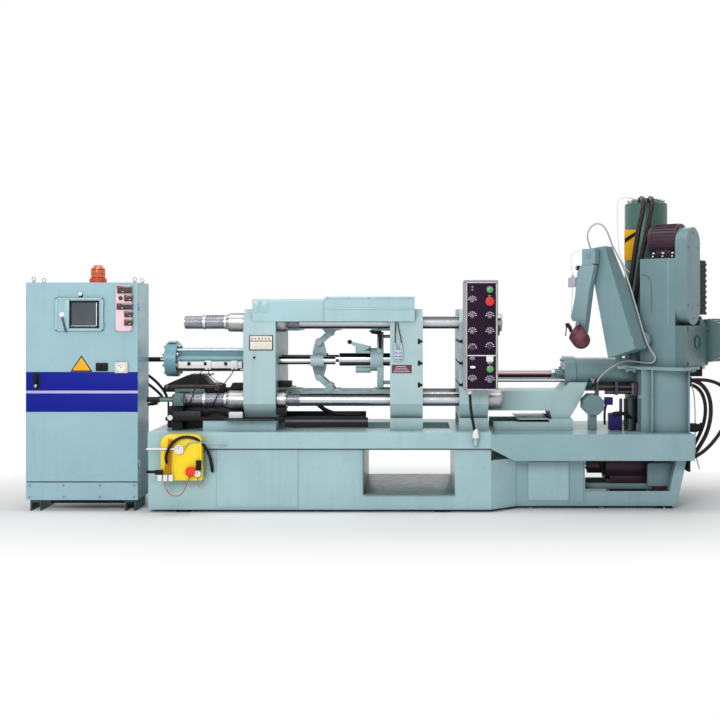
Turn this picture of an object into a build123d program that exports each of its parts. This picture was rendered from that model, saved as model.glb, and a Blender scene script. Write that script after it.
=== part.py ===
from build123d import *
import math
import os

os.makedirs("parts", exist_ok=True)

# Millimetres. X runs along the machine, from the cabinet to the injection end, the operator
# stands on the -Y side, and Z is up from the floor.

# Bed
BED_LEFT = -2150
BED_LENGTH = 2805
BED_DEPTH = 1060
BED_TOP = 660
FLANGE_OVERHANG = 20
FLANGE_THICK = 133
PAD_THICK = 25
PAD_SIZE = 120
PAD_INSET = 30
PAD_LEFT_REACH = 280
PAD_MIDDLE_REACH = 266
NOSE_LENGTH = 221
WINDOW_MIDDLE = -16
WINDOW_LENGTH = 753
WINDOW_BOTTOM = 153
WINDOW_HEIGHT = 360
PIT_WIDTH = 500
PIT_DEPTH = 240
PIT_END_LAND = 70
BED_DOOR_MIDDLE = -1257
BED_DOOR_WIDTH = 663
BED_DOOR_BOTTOM = 45
BED_DOOR_HEIGHT = 475
DOOR_PLATE = 6
RAIL_LEFT = -1720
RAIL_HEIGHT = 100
RAIL_WIDTH = 140

# Platens, tie bars and their nuts
CLAMP_Z = 1232
PLATE_WIDTH = 880
PLATE_HEIGHT = 436
PLATE_CHAMFER = 100
PLATE_LOW_CHAMFER = 90
PLATE_LOW_EDGE = 395
TAIL_LEFT = -1389
TAIL_THICK = 270
MOVABLE_THICK = 272
FIXED_LEFT = 401
FIXED_THICK = 242
DIE_SPACE = 303
TIE_DIA = 105
TIE_EDGE = 115.5
TIE_SPREAD_Y = PLATE_WIDTH - 2 * TIE_EDGE
TIE_SPREAD_Z = 647
TIE_LEFT = -1890
TIE_STICK_OUT = 112
NUT_DIA = 158
NUT_LONG = 128
NUT_SHORT = 70
NUT_FRONT = 102
SLIDE_GAP = 0.5
FIT_GAP = 0.3
FOOT_WIDTH = 150
FOOT_EDGE = 45
FOOT_SPREAD = PLATE_WIDTH - 2 * FOOT_EDGE - FOOT_WIDTH
T_SLOT_NECK = 22
T_SLOT_HEAD = 44
T_SLOT_NECK_DEPTH = 22
T_SLOT_DEPTH = 42
T_SLOT_PITCH = 180
T_SLOT_DROP = 13

# Toggle, seen with the die closed and the links in line
PIVOT_RISE = 300
LINK_LENGTH = 330
LINK_EYE = 96
LINK_BAR = 66
PIN_DIA = 56
REAR_PIVOT_REACH = 154
DRIVE_PIVOT_ALONG = 262
DRIVE_PIVOT_INSET = 70
DRIVE_EAR_TOE = 10
DRIVE_EAR_HEEL = 25
SMALL_EYE = 60
SMALL_BAR = 46
SMALL_PIN_DIA = 34
CROSSHEAD_X = -795
CROSSHEAD_ARM_RISE = 152
CROSSHEAD_NECK = 140
CROSSHEAD_EYE_RIM = 4
SMALL_LAYER = 62
SMALL_THICK = 27.2
REAR_THICK = 34.6
FRONT_THICK = 34
LAYER_GAP = 0.8
LUG_SEAT_GAP = 0.3
LUG_THICK = 28
CROSSHEAD_CORE = 112
CROSSHEAD_WING = 80
CROSSHEAD_WING_HEIGHT = 100
BUSH_DIA = 98
BUSH_LENGTH = 112
GUIDE_DIA = 66
GUIDE_SPREAD = 430
GUIDE_END = -640
PISTON_ROD_DIA = 75

# Clamp cylinder
CYLINDER_LEFT = -2115
CYLINDER_CAP = 100
CYLINDER_CAP_DIA = 296
CYLINDER_DIA = 168
CYLINDER_BORE = 125
CYLINDER_FLANGE = 40
CYLINDER_FLANGE_DIA = 250
CYLINDER_TIE_DIA = 24
CYLINDER_TIE_CIRCLE = 240
TAIL_ROD_DIA = 40
TAIL_ROD_REACH = 260
PISTON_THICK = 60
PISTON_END_GAP = 20

# Ejector
EJECTOR_DIA = 112
EJECTOR_LEFT = -620
EJECTOR_PLATE_LEFT = -292
EJECTOR_PLATE_THICK = 52
EJECTOR_PLATE_HEIGHT = 478
EJECTOR_PLATE_WIDTH = 150
EJECTOR_HUB_DIA = 200
EJECTOR_HUB_LENGTH = 58
EJECTOR_JACK_DIA = 56
EJECTOR_JACK_LENGTH = 130
EJECTOR_JACK_RISE = 88
EJECTOR_ROD_DIA = 26
EJECTOR_ROD_RISE = 200
EJECTOR_ROD_SPREAD = 90
EJECTOR_STROKE = 50

# Telescoping hood over the toggle
HOOD_SHEET = 4
HOOD_TOP = 1751
HOOD_BOTTOM = 1564
HOOD_LEFT = -1312
HOOD_REAR_LENGTH = 640
HOOD_STEP = 20
HOOD_SIDE_GAP = 12
HOOD_OVERLAP = 43
HOOD_FRONT_LEFT = HOOD_LEFT + HOOD_REAR_LENGTH - HOOD_OVERLAP
HOOD_FRONT_LENGTH = 746
HOOD_CORNER = 18
HOOD_POST_WIDTH = 80
HOOD_POST_SETBACK = 20

# Control cabinet
CABINET_LEFT = -3170
CABINET_WIDTH = 920
CABINET_FRONT = -480
CABINET_DEPTH = 360
CABINET_BOTTOM = 95
CABINET_HEIGHT = 1791
CABINET_SHEET = 20
DOOR_THICK = 24
DOOR_BOTTOM = 245
DOOR_REVEAL = 6
DOOR_SEAL = 4
HINGE_DIA = 14
HINGE_LENGTH = 60
HINGE_LEAF_FRONT = 8
HINGE_LEAF_BACK = 24
HINGE_LOW = 150
HINGE_HIGH = 200
MOUNTING_PLATE = 4
MOUNTING_MARGIN = 60
MOUNTING_STAND_OFF = 30
MOUNTING_POST_DIA = 20
MOUNTING_POST_INSET = 80
RUNNER_WIDTH = 90
RUNNER_INSET = 25
RUNNER_WALL = 12
RUNNER_TOP_WALL = 25
RUNNER_FRONT_SETBACK = 30
RUNNER_BACK_SETBACK = 10
BEACON_DIA = 140
BEACON_HEIGHT = 150
BEACON_FROM_RIGHT = 380
BEACON_BASE = 40
BEACON_CAP = 30
BEACON_LENS_DIA = 112
BEACON_TOP_DIA = 63
HATCH_INSET = 248
HATCH_LEFT = CABINET_LEFT + HATCH_INSET
HATCH_WIDTH = 392
HATCH_LIFT = 1393
HATCH_BOTTOM = CABINET_BOTTOM + HATCH_LIFT
HATCH_HEIGHT = 270
HATCH_THICK = 14
HATCH_LAP = 30
SCREEN_WIDTH = 255
SCREEN_HEIGHT = 205
SCREEN_OFFSET = 18
WINDOW_SHEET = 4
WINDOW_SETBACK = 3
CONTROLLER_INSET = 178
CONTROLLER_LEFT = CABINET_LEFT + CABINET_WIDTH - CONTROLLER_INSET
CONTROLLER_WIDTH = 132
CONTROLLER_HEIGHT = 380
CONTROLLER_DROP = 21
CONTROLLER_TOP = CABINET_BOTTOM + CABINET_HEIGHT - CONTROLLER_DROP
CONTROLLER_THICK = 14

# Die height drive behind the tail plate
DRIVE_LEFT = -2122
DRIVE_LENGTH = 496
DRIVE_WIDTH = 220
DRIVE_BOTTOM = 957
DRIVE_SHOULDER = 70
DRIVE_SHOULDER_STEP = 21
DRIVE_EAVE = 56
DRIVE_RISE = 143
DRIVE_CROWN = 122
DRIVE_CROWN_OFFSET = 200
PEDESTAL_LEFT = -1985
PEDESTAL_THICK = 85
PEDESTAL_WIDTH = 800

# Lubricator on the front of the bed
LUBE_LEFT = -2025
LUBE_WIDTH = 341
LUBE_BOTTOM = 279
LUBE_HEIGHT = 380
LUBE_DEPTH = 150
LUBE_CHAMFER = 60
LUBE_BRACKET_SIDE = 40
LUBE_BRACKET_LIFT = 30

# Operator's panel
PANEL_LEFT = 424
PANEL_WIDTH = 281
PANEL_BOTTOM = 1007
PANEL_HEIGHT = 894
PANEL_DEPTH = 105
PANEL_STAND_OFF = 83
PANEL_BRACKET_HEIGHT = 90
PANEL_BRACKET_RISES = [200, 500]
PANEL_BRACKET_INSET = 40
PANEL_ROUND = 14

# Injection base and deck
BASE_DEPTH = 740
BASE_RIGHT = 2215
BASE_LEAN = 90
BASE_RAIL_HEIGHT = 150
BASE_OPENING_LEFT = 1451
BASE_OPENING_TOP = 560
BASE_LEG = 58
BASE_POST = 42
BASE_FLOOR = 110
DECK_RIGHT = 2320
DECK_DEPTH = 1100
DECK_TOP = 642
DECK_APRON = 216
DECK_PLATE = 20
DECK_SHEET = 12
DECK_CHAMFER = 95
BASE_DOOR_MIDDLE = 1143
BASE_DOOR_WIDTH = 333
BASE_DOOR_BOTTOM = 72
BASE_DOOR_HEIGHT = 320
PUMP_MOTOR_DIA = 250
PUMP_MOTOR_LENGTH = 390
PUMP_MOTOR_X = 1660
PUMP_MOTOR_Y = -60
PUMP_MOTOR_Z = 330
PUMP_FOOT_INSET = 40
PUMP_FOOT_WIDTH = 180
PUMP_DIA = 150
PUMP_LENGTH = 140
OIL_TANK_LEFT = 2050
OIL_TANK_WIDTH = 104
OIL_TANK_DEPTH = 420
OIL_TANK_HEIGHT = 300

# Injection unit
SHOT_Z = 1104
SHOT_ROD_DIA = 63
SHOT_GUIDE_DIA = 36
SHOT_GUIDE_Y = -130
SHOT_GUIDE_DROP = 42
SHOT_STROKE = 200
SHOT_CYLINDER_LEFT = 1318
SHOT_CYLINDER_LENGTH = 625
SHOT_BORE_SPARE = 90
SHOT_ROD_SEAT = 20
SHOT_ROD_SPARE = 60
SHOT_PORT_DIA = 54
SHOT_PORT_RISE = 28
SHOT_PORT_Y = -30
SHOT_PORT_INSETS = [143, 58]
SHOT_CYLINDER_DIA = 290
SHOT_FLANGE = 94
SHOT_FLANGE_DIA = 316
GLAND_DIA = 96
GLAND_LENGTH = 75
SLEEVE_DIA = 110
SLEEVE_DEPTH = 20
C_FRAME_WIDTH = 400
C_FRAME_TOP = 972
C_FRAME_BOTTOM = 806
C_FRAME_FOOT = 740
C_FRAME_FOOT_REACH = 150
C_FRAME_FOOT_LENGTH = 200
C_FRAME_CRADLE_DROP = 60
C_FRAME_CRADLE_LENGTH = 180
C_FRAME_RISE_START = 40
C_FRAME_LIP = 30
C_FRAME_HEEL_INSET = 30
C_FRAME_HEEL_DROP = 20
C_FRAME_THROAT_LENGTH = 200
C_FRAME_THROAT_GAP = 10
C_FRAME_NUT_GAP = 10
C_FRAME_NUT_REACH = 30
C_FRAME_TOE_REACH = 120
C_FRAME_SHIN_REACH = 140
C_FRAME_CALF_REACH = 90
RAIL_SETBACK = 40
RAIL_SPREAD = 440
RAIL_BAR = 80
RAIL_RISE = 72
VALVE_BLOCK_X = 1545
VALVE_BLOCK_Z = 858
VALVE_BLOCK_SIZE = 172
VALVE_BLOCK_DEPTH = 200
VALVE_BLOCK_FRONT = -270
VALVE_STAND = 60
VALVE_STAND_SETBACK = 40
MANIFOLD_LEFT = 1560
MANIFOLD_LENGTH = 340
MANIFOLD_UPPER_Z = 1010
MANIFOLD_LOWER_Z = 966
MANIFOLD_PIPE = 36
MANIFOLD_FLANGE = 84
MANIFOLD_PLATE = 24
MANIFOLD_Y = -235
MANIFOLD_GAP = 10
MANIFOLD_PLATE_REACH = 80
RISER_DIA = 66
RISER_X = 1872
RISER_TOP = 910
THIN_RISER_DIA = 26
THIN_RISER_PITCH = 38

# Column, ladler and accumulator
COLUMN_LEFT = 1917
COLUMN_WIDTH = 388
COLUMN_FRONT = -450
COLUMN_DEPTH = 280
COLUMN_SHEET = 12
COLUMN_RECESS = 60
COLUMN_RIB = 70
LADLER_X = 2181
LADLER_Y = -450
LADLER_YAW = -38
LADLER_PLATE_TOP = 1188
LADLER_PLATE = 25
LADLER_PLATE_WIDTH = 586
LADLER_PLATE_DEPTH = 457
LADLER_PLATE_MARGIN = 120
PLATE_CLEARANCE = 12
LADLER_WIDTH = 313
LADLER_DEPTH = 320
LADLER_HEIGHT = 902
GUARD_THICK = 100
GUARD_BREADTH = 280
GUARD_BOTTOM = 1535
GUARD_HEIGHT = 814
DRIVE_MOTOR_DIA = 256
DRIVE_MOTOR_LENGTH = 255
DRIVE_MOTOR_FOOT = 34
DRIVE_MOTOR_FOOT_INSET = 60
DRIVE_MOTOR_FOOT_WIDTH = 180
DRIVE_MOTOR_FOOT_SINK = 80
GEARBOX_BREADTH = 450
GEARBOX_HEIGHT = 342
GEARBOX_SLOPE = 20
GEARBOX_HUMP = 80
GEARBOX_HUMP_START = 5
GEARBOX_HUMP_PEAK = 20
GEARMOTOR_DIA = 360
GEARMOTOR_U = 90
GEARMOTOR_RISE = 212
GEARMOTOR_LENGTH = 330
DUCT_LEFT = 20
DUCT_THICK = 80
DUCT_WIDTH = 145
DUCT_BOTTOM = 1620
DUCT_HEIGHT = 460
DUCT_RIB = 6
DUCT_RIB_PITCH = 46
ARM_PIVOT_U = -265
ARM_PIVOT_Z = 1410
ARM_SHAFT_DIA = 70
ARM_SHAFT_DEPTH = 60
ARM_BOSS_DIA = 130
ARM_GAP = 60
ARM_RUNNING_GAP = 2
ARM_THICK = 230
ARM_HEAD_THICK = 137
ARM_TAPER_Z = 1800
ARM_FOOT_U = -462
ARM_FOOT_Z = 1260
ARM_FOOT_WIDTH = 243
ARM_FOOT_SLANT = 80
ARM_HEAD_U = -648
ARM_HEAD_Z = 2174
ARM_HEAD_WIDTH = 153
ARM_HEAD_SLANT = 19
ELBOW_U = -600
ELBOW_Z = 2107
ELBOW_PIN_DIA = 44
KNUCKLE_WIDTH = 120
KNUCKLE_HEIGHT = 126
FOREARM_THICK = 80
FOREARM_GAP = 6
FOREARM_WIDTH = 96
FOREARM_WRIST_WIDTH = 90
WRIST_U = -684
WRIST_Z = 1488
WRIST_PIN_DIA = 30
LADLE_DIA = 150
LADLE_WALL = 9
LADLE_ABOVE = 45
LADLE_BELOW = 175
LADLE_LEAN = 40
LADLE_MOUTH_SLANT = 38
LADLE_GAP = 12
LADLE_SPOUT = 34
ACCUMULATOR_X = 2102
ACCUMULATOR_Y = 262
ACCUMULATOR_DIA = 373
ACCUMULATOR_TOP = 2660
ACCUMULATOR_WALL = 14
ACCUMULATOR_DOME = 55
ACCUMULATOR_BOSS = 15
ACCUMULATOR_BOSS_DIA = 130
ACCUMULATOR_CROWN_DIA = 268
ACCUMULATOR_FLANGE = 30
ACCUMULATOR_FLANGE_DIA = 413
ACCUMULATOR_PORT_DIA = 50
ACCUMULATOR_PORT_PLACES = [2020, 2098]
ACCUMULATOR_PORT_Z = 2632
ACCUMULATOR_PORT_FRONT = 78

# Hoses and conduits
CORD_ARC_SHARE = 0.45
PANEL_CONDUIT_DIA = 24
PANEL_GLAND_DIA = 36
PANEL_GLAND_BOTTOM = 555
PANEL_GLAND_TOP = 622
PANEL_GLAND_X = 527
PANEL_GLAND_Y = -575
CABINET_HOSE_DIA = 24
JUNCTION_DIA = 36
JUNCTION_LEFT = -2190
JUNCTION_Y = -8
JUNCTION_Z = 890
JUNCTION_POST_X = -2108
JUNCTION_POST_DIA = 16
ACCUMULATOR_HOSE_DIA = 44
INJECTION_HOSE_DIA = 34
INNER_HOSE_DIA = 30
LADLER_CONDUIT_DIA = 14


def block(x0, x1, y0, y1, z0, z1):
    middle = Pos((x0 + x1) / 2, (y0 + y1) / 2, (z0 + z1) / 2)
    return middle * Box(x1 - x0, y1 - y0, z1 - z0)


def bar_x(x0, x1, y, z, dia):
    return Pos((x0 + x1) / 2, y, z) * Rot(0, 90, 0) * Cylinder(dia / 2, x1 - x0)


def bar_y(y0, y1, x, z, dia):
    return Pos(x, (y0 + y1) / 2, z) * Rot(90, 0, 0) * Cylinder(dia / 2, y1 - y0)


def bar_z(z0, z1, x, y, dia):
    return Pos(x, y, (z0 + z1) / 2) * Cylinder(dia / 2, z1 - z0)


def front_profile(points, y0, y1):
    """A side view (X, Z) drawn once and given its depth along Y."""
    face = Plane.XZ.offset(-y1) * Polygon(*points, align=None)
    return extrude(face, amount=y1 - y0, dir=(0, -1, 0))


def end_profile(points, x0, x1):
    """An end view (Y, Z) drawn once and given its length along X."""
    face = Plane.YZ.offset(x0) * Polygon(*points, align=None)
    return extrude(face, amount=x1 - x0, dir=(1, 0, 0))


def plan_profile(points, z0, z1):
    """A plan (X, Y) drawn once and given its height."""
    face = Plane.XY.offset(z0) * Polygon(*points, align=None)
    return extrude(face, amount=z1 - z0, dir=(0, 0, 1))


def mirrored(point_list):
    """The points of a half outline and the same points on the other side of the middle."""
    return point_list + [(-a, b) for a, b in reversed(point_list)]


def together(pieces):
    pieces = list(pieces)
    total = pieces[0]
    for piece in pieces[1:]:
        total = total + piece
    return total


# Places worked out from the sizes above
BED_RIGHT = BED_LEFT + BED_LENGTH
BED_FRONT = -BED_DEPTH / 2
FLANGE_HALF = BED_DEPTH / 2 + FLANGE_OVERHANG
TAIL_RIGHT = TAIL_LEFT + TAIL_THICK
MOVABLE_RIGHT = FIXED_LEFT - DIE_SPACE
MOVABLE_LEFT = MOVABLE_RIGHT - MOVABLE_THICK
FIXED_RIGHT = FIXED_LEFT + FIXED_THICK
TIE_RIGHT = FIXED_RIGHT + TIE_STICK_OUT
TIE_PLACES = [(sy * TIE_SPREAD_Y / 2, CLAMP_Z + sz * TIE_SPREAD_Z / 2)
              for sy in (-1, 1) for sz in (-1, 1)]
PLATE_TOP = CLAMP_Z + PLATE_HEIGHT
REAR_PIVOT_X = TAIL_RIGHT + REAR_PIVOT_REACH
KNUCKLE_X = REAR_PIVOT_X + LINK_LENGTH
FRONT_PIVOT_X = KNUCKLE_X + LINK_LENGTH
REAR_LAYER = SMALL_LAYER + SMALL_THICK + LAYER_GAP
FRONT_LAYER = REAR_LAYER + REAR_THICK + LAYER_GAP
BASE_TOP = DECK_TOP - DECK_PLATE
DECK_BOTTOM = DECK_TOP - DECK_APRON
PANEL_BACK = -PLATE_WIDTH / 2 - PANEL_STAND_OFF
PANEL_FRONT = PANEL_BACK - PANEL_DEPTH
SHOT_CYLINDER_RIGHT = SHOT_CYLINDER_LEFT + SHOT_CYLINDER_LENGTH
SHOT_PORT_PLACES = [SHOT_CYLINDER_RIGHT - inset for inset in SHOT_PORT_INSETS]
LADLER = Pos(LADLER_X, LADLER_Y, 0) * Rot(0, 0, LADLER_YAW)
FROM_BELOW = (Align.CENTER, Align.CENTER, Align.MIN)


def bed_frame():
    flange = block(BED_LEFT, BED_RIGHT, -FLANGE_HALF, FLANGE_HALF, BED_TOP - FLANGE_THICK, BED_TOP)
    half = BED_DEPTH / 2
    body = block(BED_LEFT, BED_RIGHT, -half, half, PAD_THICK, BED_TOP - FLANGE_THICK)
    nose_half = BASE_DEPTH / 2
    nose = plan_profile([(BED_RIGHT, -half), (BED_RIGHT + NOSE_LENGTH, -nose_half),
                         (BED_RIGHT + NOSE_LENGTH, nose_half), (BED_RIGHT, half)],
                        PAD_THICK, DECK_BOTTOM)
    window_x0 = WINDOW_MIDDLE - WINDOW_LENGTH / 2
    window_x1 = WINDOW_MIDDLE + WINDOW_LENGTH / 2
    window = block(window_x0, window_x1, -2 * half, 2 * half,
                   WINDOW_BOTTOM, WINDOW_BOTTOM + WINDOW_HEIGHT)
    pit = block(TAIL_RIGHT + PIT_END_LAND, FIXED_LEFT - PIT_END_LAND, -PIT_WIDTH / 2, PIT_WIDTH / 2,
                BED_TOP - PIT_DEPTH, BED_TOP + 1)
    bed = together([body, flange, nose, tail_rails(), lubricator_bracket(), panel_gland()])
    return bed - window - pit


def panel_gland():
    """Upright fitting on the bed's flange where the panel's conduit goes in."""
    fitting = bar_z(PANEL_GLAND_BOTTOM, PANEL_GLAND_TOP, PANEL_GLAND_X, PANEL_GLAND_Y, PANEL_GLAND_DIA)
    half = PANEL_GLAND_DIA / 2
    return fitting + block(PANEL_GLAND_X - half, PANEL_GLAND_X + half, PANEL_GLAND_Y, -FLANGE_HALF,
                           PANEL_GLAND_BOTTOM, PANEL_GLAND_BOTTOM + PANEL_GLAND_DIA)


def leveling_pads():
    inset = PAD_INSET + PAD_SIZE / 2
    places = []
    for x in (BED_LEFT + PAD_LEFT_REACH, WINDOW_MIDDLE + PAD_MIDDLE_REACH, BASE_RIGHT - inset):
        half = (BASE_DEPTH if x > BED_RIGHT else BED_DEPTH) / 2 - inset
        places += [(x, -half), (x, half)]
    return together(block(x - PAD_SIZE / 2, x + PAD_SIZE / 2, y - PAD_SIZE / 2, y + PAD_SIZE / 2,
                          0, PAD_THICK) for x, y in places)


def access_panels():
    """Thin door plates on the front of the bed and of the injection base."""
    bed_x = BED_DOOR_MIDDLE - BED_DOOR_WIDTH / 2
    base_x = BASE_DOOR_MIDDLE - BASE_DOOR_WIDTH / 2
    base_front = -BASE_DEPTH / 2
    bed_door = block(bed_x, bed_x + BED_DOOR_WIDTH, BED_FRONT - DOOR_PLATE, BED_FRONT,
                     BED_DOOR_BOTTOM, BED_DOOR_BOTTOM + BED_DOOR_HEIGHT)
    base_door = block(base_x, base_x + BASE_DOOR_WIDTH, base_front - DOOR_PLATE, base_front,
                      BASE_DOOR_BOTTOM, BASE_DOOR_BOTTOM + BASE_DOOR_HEIGHT)
    return bed_door + base_door


def tail_rails():
    bars = []
    for side in (-1, 1):
        middle = side * (PLATE_WIDTH / 2 - RAIL_WIDTH / 2)
        bars.append(block(RAIL_LEFT, TAIL_RIGHT, middle - RAIL_WIDTH / 2, middle + RAIL_WIDTH / 2,
                          BED_TOP, BED_TOP + RAIL_HEIGHT))
    return together(bars)


def platen_outline(bottom):
    half = PLATE_WIDTH / 2
    return mirrored([(half - PLATE_LOW_CHAMFER, bottom),
                     (half, CLAMP_Z - PLATE_LOW_EDGE + PLATE_LOW_CHAMFER / 2),
                     (half, PLATE_TOP - PLATE_CHAMFER),
                     (half - PLATE_CHAMFER, PLATE_TOP)])


def tie_bores(x0, x1, gap):
    return [bar_x(x0 - 1, x1 + 1, y, z, TIE_DIA + 2 * gap) for y, z in TIE_PLACES]


def t_slots(face_x, inward):
    """Three slots along Y for the die clamps, cut into a face that looks against inward."""
    cuts = []
    for step in (-1, 0, 1):
        z = CLAMP_Z - T_SLOT_DROP + step * T_SLOT_PITCH
        near = sorted((face_x - inward, face_x + inward * T_SLOT_NECK_DEPTH))
        deep = sorted((face_x + inward * T_SLOT_NECK_DEPTH, face_x + inward * T_SLOT_DEPTH))
        cuts.append(block(near[0], near[1], -PLATE_WIDTH, PLATE_WIDTH,
                          z - T_SLOT_NECK / 2, z + T_SLOT_NECK / 2))
        cuts.append(block(deep[0], deep[1], -PLATE_WIDTH, PLATE_WIDTH,
                          z - T_SLOT_HEAD / 2, z + T_SLOT_HEAD / 2))
    return cuts


def pivot_lugs(x_wall, x_pivot, layers):
    """Ears seated on a platen's face, which carry the upper and the lower link pins."""
    ears = []
    seat = x_wall + math.copysign(LUG_SEAT_GAP, x_pivot - x_wall)
    for rise in (-PIVOT_RISE, PIVOT_RISE):
        z = CLAMP_Z + rise
        for inner in layers:
            for y0 in (inner, -inner - LUG_THICK):
                plate = block(min(seat, x_pivot), max(seat, x_pivot), y0, y0 + LUG_THICK,
                              z - LINK_EYE / 2, z + LINK_EYE / 2)
                round_end = bar_y(y0, y0 + LUG_THICK, x_pivot, z, LINK_EYE)
                ears.append(plate + round_end)
    lugs = together(ears)
    for rise in (-PIVOT_RISE, PIVOT_RISE):
        lugs = lugs - bar_y(-PLATE_WIDTH, PLATE_WIDTH, x_pivot, CLAMP_Z + rise, PIN_DIA + 2 * FIT_GAP)
    return lugs


def with_lugs(plate, lugs):
    """The plate and the lugs seated on it, as solids of their own in one node."""
    return Compound([*plate.solids(), *lugs.solids()])


REAR_LUG_LAYERS = [REAR_LAYER - LAYER_GAP - LUG_THICK, REAR_LAYER + REAR_THICK + LAYER_GAP]
FRONT_LUG_LAYERS = [FRONT_LAYER - LAYER_GAP - LUG_THICK, FRONT_LAYER + FRONT_THICK + LAYER_GAP]


def tail_plate():
    plate = end_profile(platen_outline(BED_TOP + RAIL_HEIGHT), TAIL_LEFT, TAIL_RIGHT)
    for bore in tie_bores(TAIL_LEFT, TAIL_RIGHT, FIT_GAP):
        plate = plate - bore
    plate = plate - bar_x(TAIL_LEFT - 1, TAIL_RIGHT + 1, 0, CLAMP_Z, PISTON_ROD_DIA + 2 * SLIDE_GAP)
    return with_lugs(plate, pivot_lugs(TAIL_RIGHT, REAR_PIVOT_X, REAR_LUG_LAYERS))


def platen_feet(x0, x1, top, gap):
    feet = []
    for side in (-1, 1):
        middle = side * (FOOT_SPREAD / 2)
        feet.append(block(x0, x1, middle - FOOT_WIDTH / 2, middle + FOOT_WIDTH / 2,
                          BED_TOP + gap, top))
    return feet


def movable_platen():
    bottom = BED_TOP + RAIL_HEIGHT
    plate = end_profile(platen_outline(bottom), MOVABLE_LEFT, MOVABLE_RIGHT)
    plate = together([plate] + platen_feet(MOVABLE_LEFT, MOVABLE_RIGHT, bottom, SLIDE_GAP))
    for cut in tie_bores(MOVABLE_LEFT, MOVABLE_RIGHT, SLIDE_GAP) + t_slots(MOVABLE_RIGHT, -1):
        plate = plate - cut
    for y, z in ejector_rod_places():
        plate = plate - bar_x(MOVABLE_LEFT - 1, MOVABLE_RIGHT + 1, y, z, EJECTOR_ROD_DIA + 2 * SLIDE_GAP)
    return with_lugs(plate, pivot_lugs(MOVABLE_LEFT, FRONT_PIVOT_X, FRONT_LUG_LAYERS))


def fixed_platen():
    bottom = BED_TOP + RAIL_HEIGHT
    plate = end_profile(platen_outline(bottom), FIXED_LEFT, FIXED_RIGHT)
    plate = together([plate] + platen_feet(FIXED_LEFT, FIXED_RIGHT, bottom, 0))
    for cut in tie_bores(FIXED_LEFT, FIXED_RIGHT, FIT_GAP) + t_slots(FIXED_LEFT, 1):
        plate = plate - cut
    sleeve = bar_x(FIXED_LEFT - 1, FIXED_LEFT + SLEEVE_DEPTH, 0, SHOT_Z, SLEEVE_DIA)
    rod = bar_x(FIXED_LEFT - 1, FIXED_RIGHT + 1, 0, SHOT_Z, SHOT_ROD_DIA + 2 * SLIDE_GAP)
    return plate - sleeve - rod + control_panel_brackets()


def tie_bars():
    return together(bar_x(TIE_LEFT, TIE_RIGHT, y, z, TIE_DIA) for y, z in TIE_PLACES)


def nut_ring(x0, x1, dia):
    hole = TIE_DIA + 2 * FIT_GAP
    return together(bar_x(x0, x1, y, z, dia) - bar_x(x0 - 1, x1 + 1, y, z, hole)
                    for y, z in TIE_PLACES)


def tie_bar_nuts():
    """Long nuts behind the tail plate, thin lock nuts before it, and the fixed platen's nuts."""
    return together([nut_ring(TAIL_LEFT - NUT_LONG, TAIL_LEFT, NUT_DIA),
                     nut_ring(TAIL_RIGHT, TAIL_RIGHT + NUT_SHORT, NUT_DIA),
                     nut_ring(FIXED_RIGHT, FIXED_RIGHT + NUT_FRONT, NUT_DIA)])


def clamp_cylinder():
    """Two bored heads and a tube, held by four long studs, with the piston's chamber inside."""
    cap_right = CYLINDER_LEFT + CYLINDER_CAP
    flange_left = TAIL_LEFT - CYLINDER_FLANGE
    body = together([
        bar_x(CYLINDER_LEFT, cap_right, 0, CLAMP_Z, CYLINDER_CAP_DIA),
        bar_x(cap_right, flange_left, 0, CLAMP_Z, CYLINDER_DIA),
        bar_x(flange_left, TAIL_LEFT, 0, CLAMP_Z, CYLINDER_FLANGE_DIA + CYLINDER_TIE_DIA)])
    body = body - bar_x(cap_right, flange_left, 0, CLAMP_Z, CYLINDER_BORE)
    body = body - bar_x(CYLINDER_LEFT - 1, cap_right + 1, 0, CLAMP_Z, TAIL_ROD_DIA + 2 * SLIDE_GAP)
    body = body - bar_x(flange_left - 1, TAIL_LEFT + 1, 0, CLAMP_Z, PISTON_ROD_DIA + 2 * SLIDE_GAP)
    return body + clamp_cylinder_studs()


def clamp_cylinder_studs():
    radius = CYLINDER_TIE_CIRCLE / 2
    studs = []
    for quarter in range(4):
        angle = math.radians(45 + 90 * quarter)
        studs.append(bar_x(CYLINDER_LEFT + CYLINDER_CAP, TAIL_LEFT - CYLINDER_FLANGE,
                           radius * math.cos(angle), CLAMP_Z + radius * math.sin(angle),
                           CYLINDER_TIE_DIA))
    return together(studs)


def piston_rod():
    """Piston, main rod to the crosshead and the thin tail rod out of the rear head."""
    piston_x1 = TAIL_LEFT - CYLINDER_FLANGE - PISTON_END_GAP
    piston_x0 = piston_x1 - PISTON_THICK
    main = bar_x(piston_x1, CROSSHEAD_X - BUSH_LENGTH / 2, 0, CLAMP_Z, PISTON_ROD_DIA)
    piston = bar_x(piston_x0, piston_x1, 0, CLAMP_Z, CYLINDER_BORE - 2 * SLIDE_GAP)
    tail = bar_x(CYLINDER_LEFT - TAIL_ROD_REACH, piston_x0, 0, CLAMP_Z, TAIL_ROD_DIA)
    return main + piston + tail


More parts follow.
